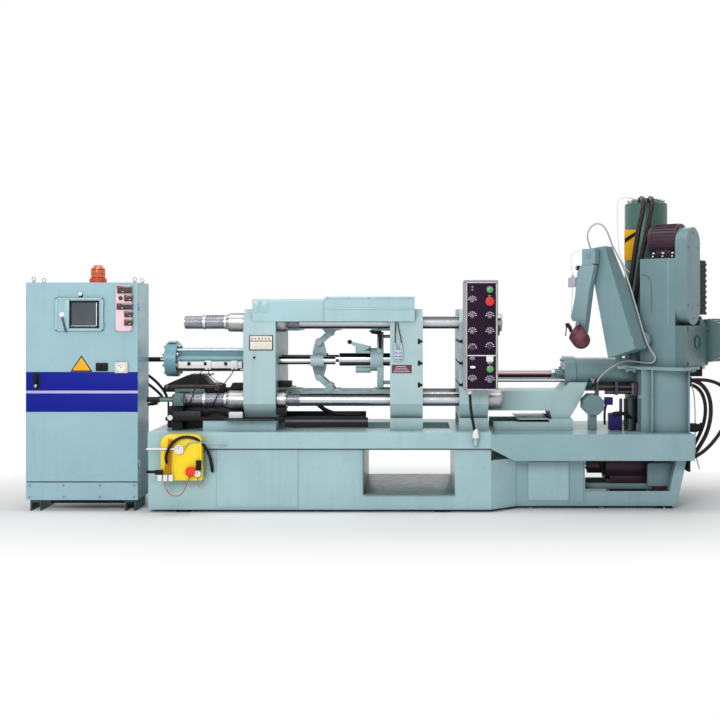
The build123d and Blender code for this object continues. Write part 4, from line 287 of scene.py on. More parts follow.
class Piece:
    """Solids of one finish that ride on one body. The objects of the pieces started are filled at the end."""

    def __init__(self, name, finish, body="frame", place=DRAWN):
        self.made = added(name, bpy.data.meshes.new(name), finish, body)
        self.mesh = bmesh.new()
        self.place = place
        STARTED.append(self)

    def _join(self, part, edge=0.0, turn=None):
        if edge > NO_EDGE:
            bmesh.ops.bevel(part, geom=part.edges[:], offset=edge, segments=2, affect="EDGES", profile=0.6)
        if turn:
            part.transform(turn)
        block = bpy.data.meshes.new("part")
        part.to_mesh(block)
        part.free()
        self.mesh.from_mesh(block)
        bpy.data.meshes.remove(block)

    def box(self, x0, x1, y0, y1, z0, z1, edge, turn=None):
        part = bmesh.new()
        bmesh.ops.create_cube(part, size=1.0)
        size = (x1 - x0, y1 - y0, z1 - z0)
        middle = Matrix.Translation(((x0 + x1) / 2, (y0 + y1) / 2, (z0 + z1) / 2))
        part.transform(middle @ Matrix.Diagonal((*size, 1.0)))
        self._join(part, min(edge, 0.45 * min(size)), turn)

    def lathe(self, start, along, profile, steps, closed=False):
        """Turned shape: profile is (distance along, radius) pairs from start in the direction along. A closed
        profile is a loop, so the shape is bored through."""
        part = bmesh.new()
        axis = Vector(along).normalized()
        side = axis.orthogonal().normalized()
        other = axis.cross(side)
        rings = []
        for distance, radius in profile:
            centre = Vector(start) + axis * distance
            rings.append([part.verts.new(centre + a * side + b * other)
                          for a, b in (spots_round(steps, radius) if radius else [(0, 0)])])
        for low, high in zip(rings, rings[1:] + rings[:1] * closed):
            for k in range(steps):
                n = (k + 1) % steps
                ends = ((low, k), (low, n), (high, n), (high, k))
                corners = dict.fromkeys(ring[spot % len(ring)] for ring, spot in ends)
                if len(corners) > 2:
                    part.faces.new(corners)
        for cap in () if closed else (rings[0][::-1], rings[-1]):
            if len(cap) > 1:
                part.faces.new(cap)
        bmesh.ops.recalc_face_normals(part, faces=part.faces)
        self._join(part)

    def rod(self, start, end, dia, edge=1.5, steps=24):
        along = Vector(end) - Vector(start)
        r = dia / 2
        c = min(edge, r * 0.4, along.length * 0.3)
        self.lathe(start, along, [(0, r - c), (c, r), (along.length - c, r), (along.length, r - c)], steps)

    def ring(self, centre, along, dia, hole, thick, steps=32):
        """A flat ring, bored through, from centre in the direction along."""
        r, h, c = dia / 2, hole / 2, min(1.5, thick * 0.2)
        profile = [(0, h), (0, r - c), (c, r), (thick - c, r), (thick, r - c), (thick, h)]
        self.lathe(centre, along, profile, steps, True)

    def prism(self, outline, plane, low, high, edge):
        """outline in the named plane, "xz" or "yz", given depth from low to high."""
        part = bmesh.new()
        near, far = [[part.verts.new((a, depth, b) if plane == "xz" else (depth, a, b)) for a, b in outline]
                     for depth in (low, high)]
        part.faces.new(near)
        part.faces.new(far)
        for k in range(len(outline)):
            n = (k + 1) % len(outline)
            part.faces.new((near[k], near[n], far[n], far[k]))
        bmesh.ops.recalc_face_normals(part, faces=part.faces)
        self._join(part, min(edge, 0.3 * abs(high - low)) if edge > NO_EDGE else 0)

    def bolt(self, seat, along, dia, head):
        """Hexagon head on a washer, seated at seat and standing out in the direction along."""
        washer, c = 0.15 * dia, 0.12 * dia
        self.lathe(seat, along, [(-1, dia * 0.95), (washer, dia * 0.95)], 16)
        self.lathe(Vector(seat) + Vector(along) * washer, along,
                   [(0, dia * 0.8), (head - c, dia * 0.8), (head, dia * 0.8 - c)], 6)

    def cap_screw(self, seat, along, dia):
        """Round socket head with its hollow."""
        r = dia * 0.75
        self.lathe(seat, along, [(-1, r), (dia * 0.85, r), (dia, r - 0.12 * dia), (dia, dia * 0.42),
                                 (dia * 0.5, dia * 0.4), (dia * 0.5, 0)], 14)

    def thread(self, start, along, length, dia, pitch, depth):
        """Ridges round a bar, with flat closed ends."""
        crest, root = dia / 2 + 0.2, dia / 2 - depth
        profile = [(0, root)]
        for k in range(int(length / pitch)):
            profile += [((k + 0.15) * pitch, root), ((k + 0.45) * pitch, crest), ((k + 0.6) * pitch, crest),
                        ((k + 0.9) * pitch, root)]
        self.lathe(start, along, profile + [(length, root)], 28)

    def eyebolt(self, foot, size):
        """Lifting eye: collar and a round ring standing on it."""
        self.lathe(foot, UP, [(-1, size * 0.34), (size * 0.14, size * 0.34), (size * 0.2, size * 0.2),
                              (size * 0.32, size * 0.16)], 16)
        loop = [(b, size * 0.34 + a) for a, b in spots_round(10, size * 0.09)]
        self.lathe(Vector(foot) + Vector(UP) * size * 0.66, OUT, loop, 24, True)

    def fill(self):
        self.mesh.transform(self.place)
        data = self.made.data
        self.mesh.to_mesh(data)
        self.mesh.free()
        data.polygons.foreach_set("use_smooth", [True] * len(data.polygons))
        data.set_sharp_from_angle(angle=SHARP_FROM)


def line(name, points, dia, finish, body="frame", place=DRAWN):
    """A round tube along a smooth line."""
    curve = bpy.data.curves.new(name, "CURVE")
    curve.dimensions = "3D"
    curve.bevel_depth = dia / 2000
    curve.bevel_resolution = 5
    curve.use_fill_caps = True
    spline = curve.splines.new("NURBS")
    spline.points.add(len(points) - 1)
    for spot, point in zip(spline.points, points):
        spot.co = (*at(*point, place), 1.0)
    spline.order_u = 3
    spline.use_endpoint_u = True
    return added(name, curve, finish, body)


# Cords, along the routes of the part's source

def hose(name, points, dia, finish, node_name, body="frame", place=DRAWN):
    piece = line(name, points, dia, finish, body, place)
    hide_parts(node_name)


hose("panel_conduit_line", [(480, -575, 1007), (481, -581, 915), (491, -585, 815), (510, -582, 715),
    (527, -575, 622)], 24, RUBBER, "panel_conduit")
hose("cabinet_hose_upper", [(-2430, -120, 1150), (-2426, -60, 1148), (-2400, 0, 1140), (-2352, 40, 1122),
    (-2292, 52, 1088), (-2232, 44, 1042), (-2178, 26, 990), (-2142, 6, 948), (-2122, -6, 908)], 24, RUBBER,
    "cabinet_hoses")
hose("cabinet_hose_lower", [(-2450, -120, 1080), (-2446, -60, 1078), (-2420, 0, 1070), (-2372, 38, 1054),
    (-2314, 46, 1026), (-2258, 34, 990), (-2212, 14, 955), (-2178, -4, 928), (-2160, -10, 908)], 24, RUBBER,
    "cabinet_hoses")
hose("accumulator_hose_left", [(2020, 78, 2632), (2014, -20, 2627), (1996, -112, 2572), (1970, -164, 2468),
    (1940, -174, 2340), (1908, -156, 2120), (1880, -132, 1880), (1850, -100, 1640), (1822, -62, 1440),
    (1800, -30, 1277)], 44, RUBBER_GLINTS, "accumulator_hoses")
hose("accumulator_hose_right", [(2098, 78, 2632), (2092, -20, 2627), (2074, -112, 2572), (2046, -158, 2468),
    (2016, -162, 2340), (1974, -138, 2120), (1942, -118, 1880), (1920, -92, 1640), (1900, -58, 1440),
    (1885, -30, 1277)], 44, RUBBER_GLINTS, "accumulator_hoses")
hose("injection_hose_outer", [(2305, -300, 1080), (2395, -302, 1066), (2470, -306, 1010), (2510, -310, 920),
    (2520, -312, 815), (2508, -312, 710), (2478, -310, 612), (2430, -306, 525), (2378, -302, 445), (2333, -300, 388),
    (2294, -298, 345)], 34, RUBBER_GLINTS, "injection_hoses")
hose("injection_hose_inner", [(2305, -250, 1040), (2385, -252, 1028), (2448, -256, 980), (2480, -260, 900),
    (2488, -262, 812), (2477, -262, 722), (2450, -260, 636), (2410, -256, 554), (2366, -252, 474), (2326, -250, 400),
    (2290, -248, 325)], 30, RUBBER_GLINTS, "injection_hoses")
hose("injection_hose_loop", [(2305, -345, 1072), (2395, -347, 1078), (2490, -350, 1072), (2580, -352, 1042),
    (2648, -354, 975), (2675, -356, 885), (2662, -356, 790), (2622, -354, 700), (2570, -352, 615), (2508, -350, 535),
    (2438, -348, 470), (2362, -346, 425), (2299, -345, 398)], 30, RUBBER_GLINTS, "injection_hoses")
hose("arm_conduit_loop", [(-630, -274, 2174), (-646, -286, 2226), (-654, -296, 2282), (-640, -292, 2338),
    (-602, -278, 2382), (-554, -256, 2388), (-517, -230, 2348), (-498, -202, 2284), (-488, -172, 2214)], 14,
    CONDUIT, "arm_conduit", "ladler_arm", LADLER)
hose("arm_conduit_run", [(-488, -172, 2214), (-462, -112, 2120), (-424, -72, 2010), (-380, -66, 1880),
    (-338, -66, 1750), (-296, -68, 1620), (-258, -70, 1500), (-226, -71, 1412), (-212, -66, 1374), (-204, -50, 1346),
    (-192, -40, 1318), (-180, -38, 1301.3), (-168, -38, 1286)], 14, CONDUIT, "arm_conduit",
    "ladler_arm", LADLER)
hose("ladler_conduit_slack", [(-167.6, -38, 1285.5), (-158, -39, 1272), (-156, -40, 1250), (-168, -40, 1228),
    (-192, -41, 1216), (-226, -40, 1215), (-264, -40, 1218), (-302, -41, 1222), (-344, -42, 1228), (-386, -44, 1230),
    (-428, -48, 1226), (-462, -58, 1215), (-494, -76, 1196), (-526, -104, 1174), (-556, -140, 1142),
    (-582, -176, 1104), (-598, -202, 1071), (-604, -214, 1046)], 14, CONDUIT, "ladler_conduit",
    place=LADLER)

# Details on the CAD solids

def seen(px, py, y):
    """Drawing place at depth y of a point at px, py in the photograph's frame."""
    reach = (y - EYE_Y) / FOCAL_PX
    return EYE_X + (px - AXIS_PX) * reach, y, EYE_Z - (py - AXIS_PY) * reach


def plate(piece, left, right, top, bottom, front, thick, edge):
    """Flat block given by its outline in the photograph's frame and the depth of its front face."""
    x0, _, z1 = seen(left, top, front)
    x1, _, z0 = seen(right, bottom, front)
    piece.box(x0, x1, front, front + thick, z0, z1, edge)


def knob(grey, white, x, z, front, dia, turn):
    """Round selector with a pointer and white ticks round it."""
    grey.lathe((x, front, z), OUT, [(-1, dia * 0.5), (4, dia * 0.5), (5, dia * 0.38), (dia * 0.55, dia * 0.32),
        (dia * 0.6, dia * 0.28)], 20)
    grey.box(x - dia * 0.07, x + dia * 0.07, front - dia * 0.72, front - dia * 0.5, z - dia * 0.3, z + dia * 0.34,
        1.2, turned("Y", turn, x, 0, z))
    for k in range(-3, 4):
        white.box(x - 2.6, x + 2.6, front - 0.9, front + 0.5, z + dia * 0.62, z + dia * 0.9, 0.0,
            turned("Y", k * 0.5, x, 0, z))


def screws(name, spots, along, dia, body="frame", place=DRAWN, finish=STEEL):
    """Cap screws of one size, seated at each of the spots."""
    piece = Piece(name, finish, body, place)
    for spot in spots:
        piece.cap_screw(spot, along, dia)


def push_button(cap, ring, x, z, front, dia, rise):
    """Round cap standing out of a collar."""
    ring.lathe((x, front, z), OUT, [(-1, dia * 0.62), (4, dia * 0.62), (6, dia * 0.54), (6, dia * 0.46)], 22)
    cap.lathe((x, front, z), OUT, [(0, dia * 0.44), (rise, dia * 0.44), (rise + 2, dia * 0.36), (rise + 2.6, 0)], 20)


# Cabinet door: band, line, handle, sign, socket and meter
FRONT, REAR = -480, -120
METER_X, METER_Z = -2383, 1188
DOOR_LEFT, DOOR_RIGHT = -3170, -2250
p = Piece("cabinet_band", BLUE, DOOR)
p.box(DOOR_LEFT, DOOR_RIGHT, FRONT - 1.2, FRONT + 1, 820, 973, 0.5)
p.box(DOOR_LEFT, DOOR_RIGHT, FRONT - 1.2, FRONT + 1, 995, 1149, 0.5)
p = Piece("cabinet_line", surface("band_line", (176, 172, 206), 0.4, bump=0.1), DOOR)
p.box(DOOR_LEFT, DOOR_RIGHT, FRONT - 1.0, FRONT + 1, 973, 995, 0.3)
p = Piece("cabinet_handle", BLACK, DOOR)
p.box(-3108, -3056, FRONT - 5, FRONT, 1008, 1144, 6)
p.box(-3098, -3066, FRONT - 14, FRONT - 4, 1020, 1134, 4)
p.prism([(-3094, 1128), (-3070, 1128), (-3073, 1044), (-3091, 1044)], "xz", FRONT - 34, FRONT - 22, 4)
p.box(-3092, -3072, FRONT - 24, FRONT - 12, 1106, 1126, 3)
p.lathe((-3058, FRONT, 1070), OUT, [(0, 9), (5, 9), (6, 7)], 18)
p = Piece("cabinet_handle_tip", STEEL, DOOR)
p.box(-3093, -3071, FRONT - 33, FRONT - 22, 1024, 1046, 4)
p.lathe((-3082, FRONT - 4, 1117), OUT, [(0, 8), (12, 8), (13, 6)], 18)

p = Piece("cabinet_sign_plate", AMBER_PLATE, DOOR)
p.prism([(-2786, 1162), (-2639, 1162), (-2712, 1270)], "xz", FRONT - 3, FRONT - 1.2, 0.5)
p = Piece("cabinet_sign_edge", BLACK, DOOR)
p.prism([(-2803, 1151), (-2622, 1151), (-2712, 1286)], "xz", FRONT - 1.6, FRONT, 0.4)
p = Piece("cabinet_socket", BLACK, DOOR)
p.box(-2593, -2494, FRONT - 12, FRONT, 1157, 1223, 5)
p.box(-2584, -2548, FRONT - 20, FRONT - 10, 1166, 1214, 4)
p.box(-2540, -2504, FRONT - 17, FRONT - 10, 1166, 1214, 4)
p = Piece("cabinet_meter", surface("meter_beige", (206, 196, 184), 0.4, bump=0.1), DOOR)
p.box(-2437, -2330, FRONT - 14, FRONT, 1140, 1231, 5)
p = Piece("cabinet_meter_dial", WHITE, DOOR)
p.ring((METER_X, FRONT - 13, METER_Z), OUT, 74, 58, 5)
p.lathe((METER_X, FRONT - 13, METER_Z), OUT, [(0, 28), (1.5, 28)], 28)
p = Piece("cabinet_meter_needle", BLACK, DOOR)
for k in range(9):
    p.box(METER_X - 0.8, METER_X + 0.8, FRONT - 15.1, FRONT - 14.2, METER_Z + 19, METER_Z + 26, 0,
        turned("Y", -1.2 + 0.3 * k, METER_X, 0, METER_Z))
p.box(METER_X - 1.2, METER_X + 1.2, FRONT - 16, FRONT - 14.5, METER_Z, METER_Z + 22, 0, turned("Y", -0.7, METER_X, 0,
    METER_Z))
p.lathe((METER_X, FRONT - 14, METER_Z), OUT, [(0, 4), (3, 4), (3.4, 3)], 14)

# Stop ball above the hatch, the hatch's latch and frame, and the screen
p = Piece("hatch_stop_ball", WHITE, DOOR)
p.lathe((-2717, FRONT, 1791), OUT, [(0, 6), (6, 6), (8, 12), (14, 16), (21, 16), (27, 12), (30, 6), (31, 0)], 22)
p = Piece("hatch_stop_seat", BLACK, DOOR)
p.lathe((-2717, FRONT, 1778), OUT, [(0, 13), (7, 13), (9, 10)], 22)
p.box(-2731, -2703, FRONT - 5, FRONT, 1764, 1792, 4)
HATCH = FRONT - 14.3
p = Piece("hatch_latch", TEAL_DARK, SCREEN_HATCH)
p.prism([(-2874, 1608), (-2856, 1606), (-2826, 1484), (-2834, 1478), (-2842, 1482)], "xz", HATCH - 12, HATCH - 5, 2)
p = Piece("hatch_latch_pivot", WHITE, SCREEN_HATCH)
p.lathe((-2865, HATCH, 1620), OUT, [(0, 24), (4, 24), (6, 20), (11, 18), (15, 12), (16, 0)], 26)
p = Piece("screen_surround", BLACK, SCREEN_HATCH)
for x0, x1, z0, z1 in ((-2810, -2794, 1511, 1736), (-2580, -2564, 1511, 1736), (-2852, -2564, 1720, 1736),
        (-2852, -2564, 1511, 1526)):
    p.box(x0, x1, HATCH - 4, HATCH + 4, z0, z1, 2)
p = Piece("screen_filler", MINT_CABINET, SCREEN_HATCH)
p.box(-2856, -2808, HATCH - 6, HATCH + 4, 1506, 1741, 2)
p = Piece("screen_rim", WHITE, SCREEN_HATCH)
p.box(-2588, -2581, HATCH - 2, HATCH + 8, 1521, 1725, 1)
p.box(-2794, -2581, HATCH - 2, HATCH + 8, 1521, 1530, 1)
p = Piece("hatch_frame_strip", MINT, SCREEN_HATCH)
for x0, x1, z0, z1 in ((-2922, -2908, 1488, 1758), (-2544, -2530, 1488, 1758), (-2922, -2530, 1744, 1758),
        (-2922, -2530, 1488, 1502)):
    p.box(x0, x1, HATCH - 4, HATCH + 2, z0, z1, 2)
for z in (1540, 1706):
    p.rod((-2530, HATCH - 3, z - 22), (-2530, HATCH - 3, z + 22), 8)
p = Piece("screen_image", surface("screen_green", (92, 108, 92), 0.25, vary=0.3, scale=9, coat=0.5), SCREEN_HATCH)
p.box(-2820, -2592, HATCH + 8.2, HATCH + 9.4, 1534, 1562, 0.3)
for k in range(7):
    p.box(-2814 + 31 * k, -2790 + 31 * k, HATCH + 7.4, HATCH + 9.4, 1538, 1556, 0.4)

# Bed: painted shadow under the tail rails, and painted shade on the bed's top beside the ways
p = Piece("tail_rail_shadow", BLACK)
p.box(-2030, -1050, -449, -441, 744, 776, 3)
p = Piece("bed_way_shade_bands", surface("way_shade_tone", (104, 88, 98), 0.5, vary=0.2, scale=9, shine=0.2, crease=0.3))
p.box(-1042, -356, -440, -428, 732, 752, 2)
p = Piece("bed_way_shade_dark", BLACK)
p.box(-1042, -356, -441, -420, 752, 770, 2)
p.box(-1042, -356, -438, -424, 690, 732, 2)

# Column of temperature instruments: places across and down are pixels of the photograph's frame
CONTROL_FRONT = -494
COLUMN_LEFT, COLUMN_RIGHT = 116.5, 132
KNOB_PX, KNOB_PY = 120.6, 298.2
dark_face = Piece("instrument_faces", surface("instrument_purple", (58, 34, 58), 0.3, coat=0.3, bump=0.1), DOOR)
lit_face = Piece("instrument_windows", surface("instrument_window", (30, 22, 26), 0.15, coat=0.7, vary=0.3), DOOR)
mark_face = Piece("instrument_marks", surface("instrument_mark", (220, 60, 50), 0.4, vary=0.1), DOOR)
line_face = Piece("instrument_lines", YELLOW, DOOR)
for left, right, top, bottom in ((COLUMN_LEFT + 0.5, COLUMN_RIGHT - 0.5, 286, 293.4),
        (124, COLUMN_RIGHT, 295, 301.2), (COLUMN_LEFT, COLUMN_RIGHT, 303.5, 309.6),
        (124, COLUMN_RIGHT, 311.2, 317.2), (124, COLUMN_RIGHT, 319.4, 325.6)):
    plate(dark_face, left, right, top, bottom, CONTROL_FRONT - 12, 13, 2)
    plate(lit_face, left + 0.8, right - 0.8, top + 0.7, top + 2.6, CONTROL_FRONT - 13.2, 2, 0.6)
    plate(mark_face, left + 1.3, left + 3.4, top + 1.1, top + 2.0, CONTROL_FRONT - 13.8, 1, 0.2)
    for k in range(3):
        plate(line_face if k == 2 else dark_face, left + 1 + 2 * k, left + 2.2 + 2 * k, bottom - 2.2, bottom - 1.3,
            CONTROL_FRONT - 14.2, 3, 0.6)
x, _, z = seen(KNOB_PX, KNOB_PY, CONTROL_FRONT)
dark_face.lathe((x, CONTROL_FRONT, z), OUT, [(0, 17), (6, 17), (8, 13), (22, 11), (24, 9)], 22)
for top in (294.2, 302.4):
    plate(line_face, COLUMN_LEFT, COLUMN_RIGHT, top, top + 0.5, CONTROL_FRONT - 1, 2, 0.2)
screws("instrument_plate_screws", [(x, CONTROL_FRONT, z) for x in (-2419, -2305) for z in (1494, 1856)], OUT, 7, DOOR)

# Roof eyes, beacon, kick plate screws and louvres at the back
BEACON_X, BEACON_Y = -2630, -300
p = Piece("cabinet_roof_eyes", STEEL)
for x in (-3127, -2290):
    for y in (-420, -180):
        p.eyebolt((x, y, 1886), 44)
p = Piece("beacon_base", LENS_BASE)
p.lathe((BEACON_X, BEACON_Y, 1886), UP, [(0.5, 71), (34, 71), (40, 66), (40.5, 60)], 40)
p.ring((BEACON_X, BEACON_Y, 1898), UP, 145, 140, 8)
p = Piece("beacon_ribs", LENS)
for a, b in spots_round(24, 56):
    p.rod((BEACON_X + a, BEACON_Y + b, 1930), (BEACON_X + a, BEACON_Y + b, 1998), 4, 0.8, 8)
p = Piece("beacon_core", surface("beacon_core", (74, 28, 14), 0.35, vary=0.4, scale=30))
p.lathe((BEACON_X, BEACON_Y, 1926), UP, [(0, 57.2), (8, 57.2), (8.5, 56)], 36)
p.ring((BEACON_X, BEACON_Y, 1996), UP, 116, 108, 6)
p.ring((BEACON_X, BEACON_Y, 1960), UP, 117, 112, 3)
# A black bar under the cabinet is painted shade beneath it
p = Piece("cabinet_underside_shade", BLACK)
p.box(-2990, -2300, -420, -180, 58, 94, 6)
screws("cabinet_kick_screws", [(x, FRONT, z) for x in (-3140, -2860, -2560, -2280) for z in (215, 120)], OUT, 9)
p = Piece("cabinet_louvres", MINT)
for x in (-2990, -2710, -2430):
    for z in (foot + 24 * k for k in range(9) for foot in (1500, 330)):
        p.prism([(REAR, z), (REAR + 9.5, z), (REAR + 9.5, z + 3), (REAR, z + 14)], "yz", x - 90, x + 90, 1)
screws("cabinet_back_screws", [(x, REAR, z) for x in (-3150, -2850, -2560, -2270) for z in (130, 560, 990, 1420,
    1860)], BACK, 9)
# A dark line along the door's bottom edge is a painted shadow line
p = Piece("cabinet_door_shadow_line", surface("door_shadow_dark", (44, 70, 74), 0.6, vary=0.2), DOOR)
p.box(DOOR_LEFT + 2, DOOR_RIGHT - 2, FRONT - 0.6, FRONT + 2, 245, 248.5, 0)

# Operator's panel
PANEL = -628
p = Piece("panel_fields", PANEL_BLACK)
p.box(453, 688, PANEL - 3, PANEL + 1, 1294, 1877, 4)
p.box(453, 688, PANEL - 3, PANEL + 1, 1019, 1286, 4)
grey = Piece("panel_knobs", surface("knob_grey", (132, 124, 142), 0.35, coat=0.2, bump=0.05))
dusk = Piece("panel_dark_knobs", surface("knob_dusk", (72, 52, 84), 0.35, coat=0.2, bump=0.05))
ticks = Piece("panel_ticks", WHITE)
for x0, x1, z0, z1 in ((449, 453, 1015, 1881), (688, 692, 1015, 1881), (449, 692, 1015, 1019),
        (449, 692, 1877, 1881), (449, 692, 1286, 1294)):
    ticks.box(x0, x1, PANEL - 3.6, PANEL + 1, z0, z1, 0.4)
green = Piece("panel_green_caps", GREEN)
red = Piece("panel_red_cap", RED)
FACE = PANEL - 3
for z in (1845, 1822):
    push_button(grey, grey, 496, z, FACE, 14, 6)
for z in (1739, 1613, 1484):
    knob(grey, ticks, 496, z, FACE, 40, 0.5)
knob(dusk, ticks, 496, 1351, FACE, 42, -0.3)
push_button(green, grey, 638, 1824, FACE, 44, 12)
green.box(624, 646, FACE - 3, FACE + 1, 1768, 1778, 1)
red.lathe((636, FACE, 1727), OUT, [(0, 18), (12, 18), (14, 36), (26, 36), (31, 30), (33, 0)], 26)
for z in (1611, 1484):
    knob(grey, ticks, 638, z, FACE, 40, -0.6)
knob(dusk, ticks, 638, 1362, FACE, 42, 0.2)
knob(grey, ticks, 496, 1262, FACE, 22, 0.0)
grey.rod((482, FACE - 6, 1196), (516, FACE - 6, 1196), 12)
ticks.lathe((498, FACE, 1196), OUT, [(0, 13), (8, 13), (10, 9), (24, 8), (26, 6)], 20)
ticks.box(478, 520, FACE - 32, FACE - 22, 1188, 1206, 4)
knob(grey, ticks, 496, 1100, FACE, 40, 0.7)
ticks.box(610, 666, FACE - 1.2, FACE + 1, 1240, 1292, 0.8)
knob(grey, ticks, 638, 1228, FACE, 20, 0.0)
push_button(green, grey, 640, 1182, FACE, 46, 12)
knob(grey, ticks, 638, 1092, FACE, 44, -0.5)
p = Piece("panel_side_controls", BLACK)
p.lathe((705, -590, 1582), RIGHT, [(-1, 14), (6, 14), (8, 10), (22, 10), (24, 8)], 20)
p.rod((700, -586, 1528), (722, -586, 1528), 16)
p.rod((716, -586, 1530), (714, -586, 1452), 13)
p = Piece("panel_gland", WHITE)
p.lathe((480, -575, 1008), DOWN, [(-1, 23), (7, 23), (8, 20), (20, 20), (22, 15), (36, 13.5)], 24)
p.lathe((527, -575, 616), UP, [(0, 28), (30, 28), (32, 24), (60, 22), (74, 15)], 24)
screws("panel_screws", [(x, PANEL, z) for x in (438, 694) for z in (1022, 1290, 1886)], OUT, 8)

# Clamp end: threads, collars and nut faces of the tie bars
THREAD = surface("thread_steel", (142, 144, 152), 0.3, metal=0.85, vary=0.15, scale=14, crease=0.5)
BAR_Y, BAR_TOP, BAR_LOW, BAR_DIA = 324.5, 1555.5, 908.5, 105
BARS = [(y, z) for y in (-BAR_Y, BAR_Y) for z in (BAR_TOP, BAR_LOW)]
p = Piece("tie_bar_threads", THREAD)
for y, z in BARS:
    p.thread((-1886, y, z), RIGHT, 364, BAR_DIA + 6, 14, 2.6)
    p.thread((-1048, y, z), RIGHT, 120, BAR_DIA + 6, 12, 2.6)
p = Piece("tie_bar_collars", surface("collar_silver", (196, 206, 204), 0.25, metal=0.9, vary=0.06, crease=0.4))
for y, z in BARS:
    for x in (-1738, -1560):
        p.ring((x, y, z), RIGHT, BAR_DIA + 12, BAR_DIA, 22)
    p.lathe((-1896, y, z), RIGHT, [(0, 38), (7, 44), (9, 44)], 28)
    p.lathe((755, y, z), RIGHT, [(-2, 44), (5, 44), (8, 40), (8, 10), (3, 8)], 28)
p = Piece("rear_bar_lock_nuts", BLACK)
for z in (BAR_TOP, BAR_LOW):
    p.lathe((-1621, BAR_Y, z), RIGHT, [(0, 74), (6, 79), (98, 79), (103, 76)], 36)
    p.lathe((-1874, BAR_Y, z), RIGHT, [(0, 58), (3, 60.5), (250, 60.5)], 32)
p = Piece("tie_nut_retainers", STEEL)
for y, z in BARS:
    for x, way in ((-1517, -1), (-1049, 1), (745, 1)):
        p.ring((x, y, z), (way, 0, 0), 150, 106, 8)
        for a, b in spots_round(8, 64):
            p.cap_screw((x + 8 * way, y + a, z + b), (way, 0, 0), 9)

# Clamp cylinder: bolts on the studs, bands, sensor rail, wires
CLAMP_Z, STUD_RADIUS = 1232, 120
p = Piece("clamp_cylinder_nuts", STEEL)
for y, rise in spots_round(8, STUD_RADIUS, math.pi / 8):
    p.bolt((-2115, y, CLAMP_Z + rise), LEFT, 20, 16)
    p.bolt((-2015, y, CLAMP_Z + rise), RIGHT, 20, 16)
p = Piece("clamp_stud_sleeves", surface("stud_silver", (168, 184, 192), 0.3, metal=0.4, vary=0.06, crease=0.4))
for y, rise in spots_round(4, STUD_RADIUS, math.pi / 4):
    p.ring((-2014, y, CLAMP_Z + rise), RIGHT, 27, 24.1, 584, 20)
p = Piece("clamp_cylinder_bands", MINT_CAST)
p.ring((-2014, 0, CLAMP_Z), RIGHT, 190, 168, 22, 40)
p.ring((-1416, 0, CLAMP_Z), RIGHT, 214, 168, 26, 40)
p.box(-2098, -2032, -60, 60, 1376, 1392, 5)
p = Piece("clamp_tail_rod", BLACK, "crosshead")
p.lathe((-2375.5, 0, CLAMP_Z), RIGHT, [(0, 16), (3, 21.5), (40, 21.5), (42, 20.6), (200, 20.6), (201, 19)], 28)
p = Piece("clamp_sensor_rail", WHITE)
p.box(-2001, -1451, -112, -96, 1160, 1218, 4)
for x in (-1743, -1516):
    p.box(x - 27, x + 27, -126, -88, 1150, 1226, 4)
p = Piece("clamp_sensor_heads", BLACK)
p.box(-2040, -1470, -110, -90, 1142, 1158, 3)
for x in (-1906, -1764, -1590):
    p.box(x - 12, x + 12, -128, -110, 1186, 1214, 3)
line("sensor_wire_0", [(-1738, -126, 1160), (-1736, -140, 1130), (-1716, -150, 1096), (-1680, -150, 1062),
    (-1640, -150, 1040), (-1600, -148, 1032)], 7, RUBBER)
line("sensor_wire_1", [(-1516, -126, 1160), (-1524, -160, 1120), (-1560, -240, 1066), (-1596, -330, 1000),
    (-1622, -390, 930), (-1640, -392, 880), (-1668, -360, 842)], 8, RUBBER)
line("sensor_wire_2", [(-1786, -126, 1160), (-1800, -200, 1090), (-1812, -300, 1020), (-1820, -392, 940),
    (-1836, -396, 880), (-1860, -380, 830)], 8, RUBBER)

# Die height drive, and the tail's pump group with its hoses
p = Piece("drive_ribs", surface("drive_maroon", (44, 26, 34), 0.35, coat=0.3, vary=0.25, scale=9, crease=0.3))
for x in (-1900, -1860, -1820, -1780, -1740):
    p.box(x, x + 12, -104, 104, 1092, 1110, 4)
p.box(-2076, -1660, -112.5, -109, 985, 1018, 3)
p.lathe((-2096, -110, 992), OUT, [(-2, 26), (10, 26), (12, 20), (26, 18), (28, 14)], 26)
p.lathe((-1665, -110, 990), OUT, [(-2, 30), (8, 30), (10, 24), (18, 22)], 26)
screws("drive_highlights", [(x, -112.5, 1001) for x in range(-2050, -1699, 70)], OUT, 10, finish=DARK_STEEL)
p = Piece("drive_gearbox", BLACK)
p.box(-1517, -1400, -250, -150, 962, 1042, 8)
p.box(-1500, -1420, -262, -248, 976, 1028, 4)
p.lathe((-1460, -262, 1002), OUT, [(0, 20), (12, 20), (14, 14)], 22)
p.rod((-1400, -200, 1002), (-1389, -200, 1002), 44)
p = Piece("tail_pump_group", MINT_DEEP)
p.box(-1965, -1882, -455, -370, 868, 968, 6)
p.box(-1955, -1892, -470, -454, 886, 950, 4)
p.rod((-2108, -415, 915), (-1950, -415, 915), 36)
p.rod((-1882, -412, 908), (-1870, -412, 908), 50)
p.box(-2027, -1769, -120, -109, 931, 984, 6)
p = Piece("tail_pump_block", surface("pump_dark", (38, 44, 50), 0.5, vary=0.3, scale=10, shine=0.2, crease=0.3))
p.box(-1972, -1740, -440, -310, 745, 822, 10)
for x in (-1940, -1890, -1840, -1790):
    p.box(x, x + 14, -446, -438, 752, 815, 3)
p = Piece("tail_pump_hoses", RUBBER)
p.rod((-2190, -415, 917), (-2096, -415, 917), 44)
p.lathe((-2094, -415, 917), LEFT, [(-10, 26), (4, 26), (6, 20), (30, 19)], 22)
p.box(-2051, -1412, -296, -180, 668, 848, 16)
p.box(-1700, -1440, -330, -298, 676, 800, 10)
p.lathe((-2124, -330, 884), (-1, 0, -0.2), [(0, 17), (50, 17), (52, 14), (80, 13)], 22)
line("tail_hose_mid", [(-1740, -380, 800), (-1690, -390, 826), (-1630, -388, 830), (-1570, -370, 800),
    (-1530, -330, 766), (-1500, -300, 720)], 24, RUBBER)
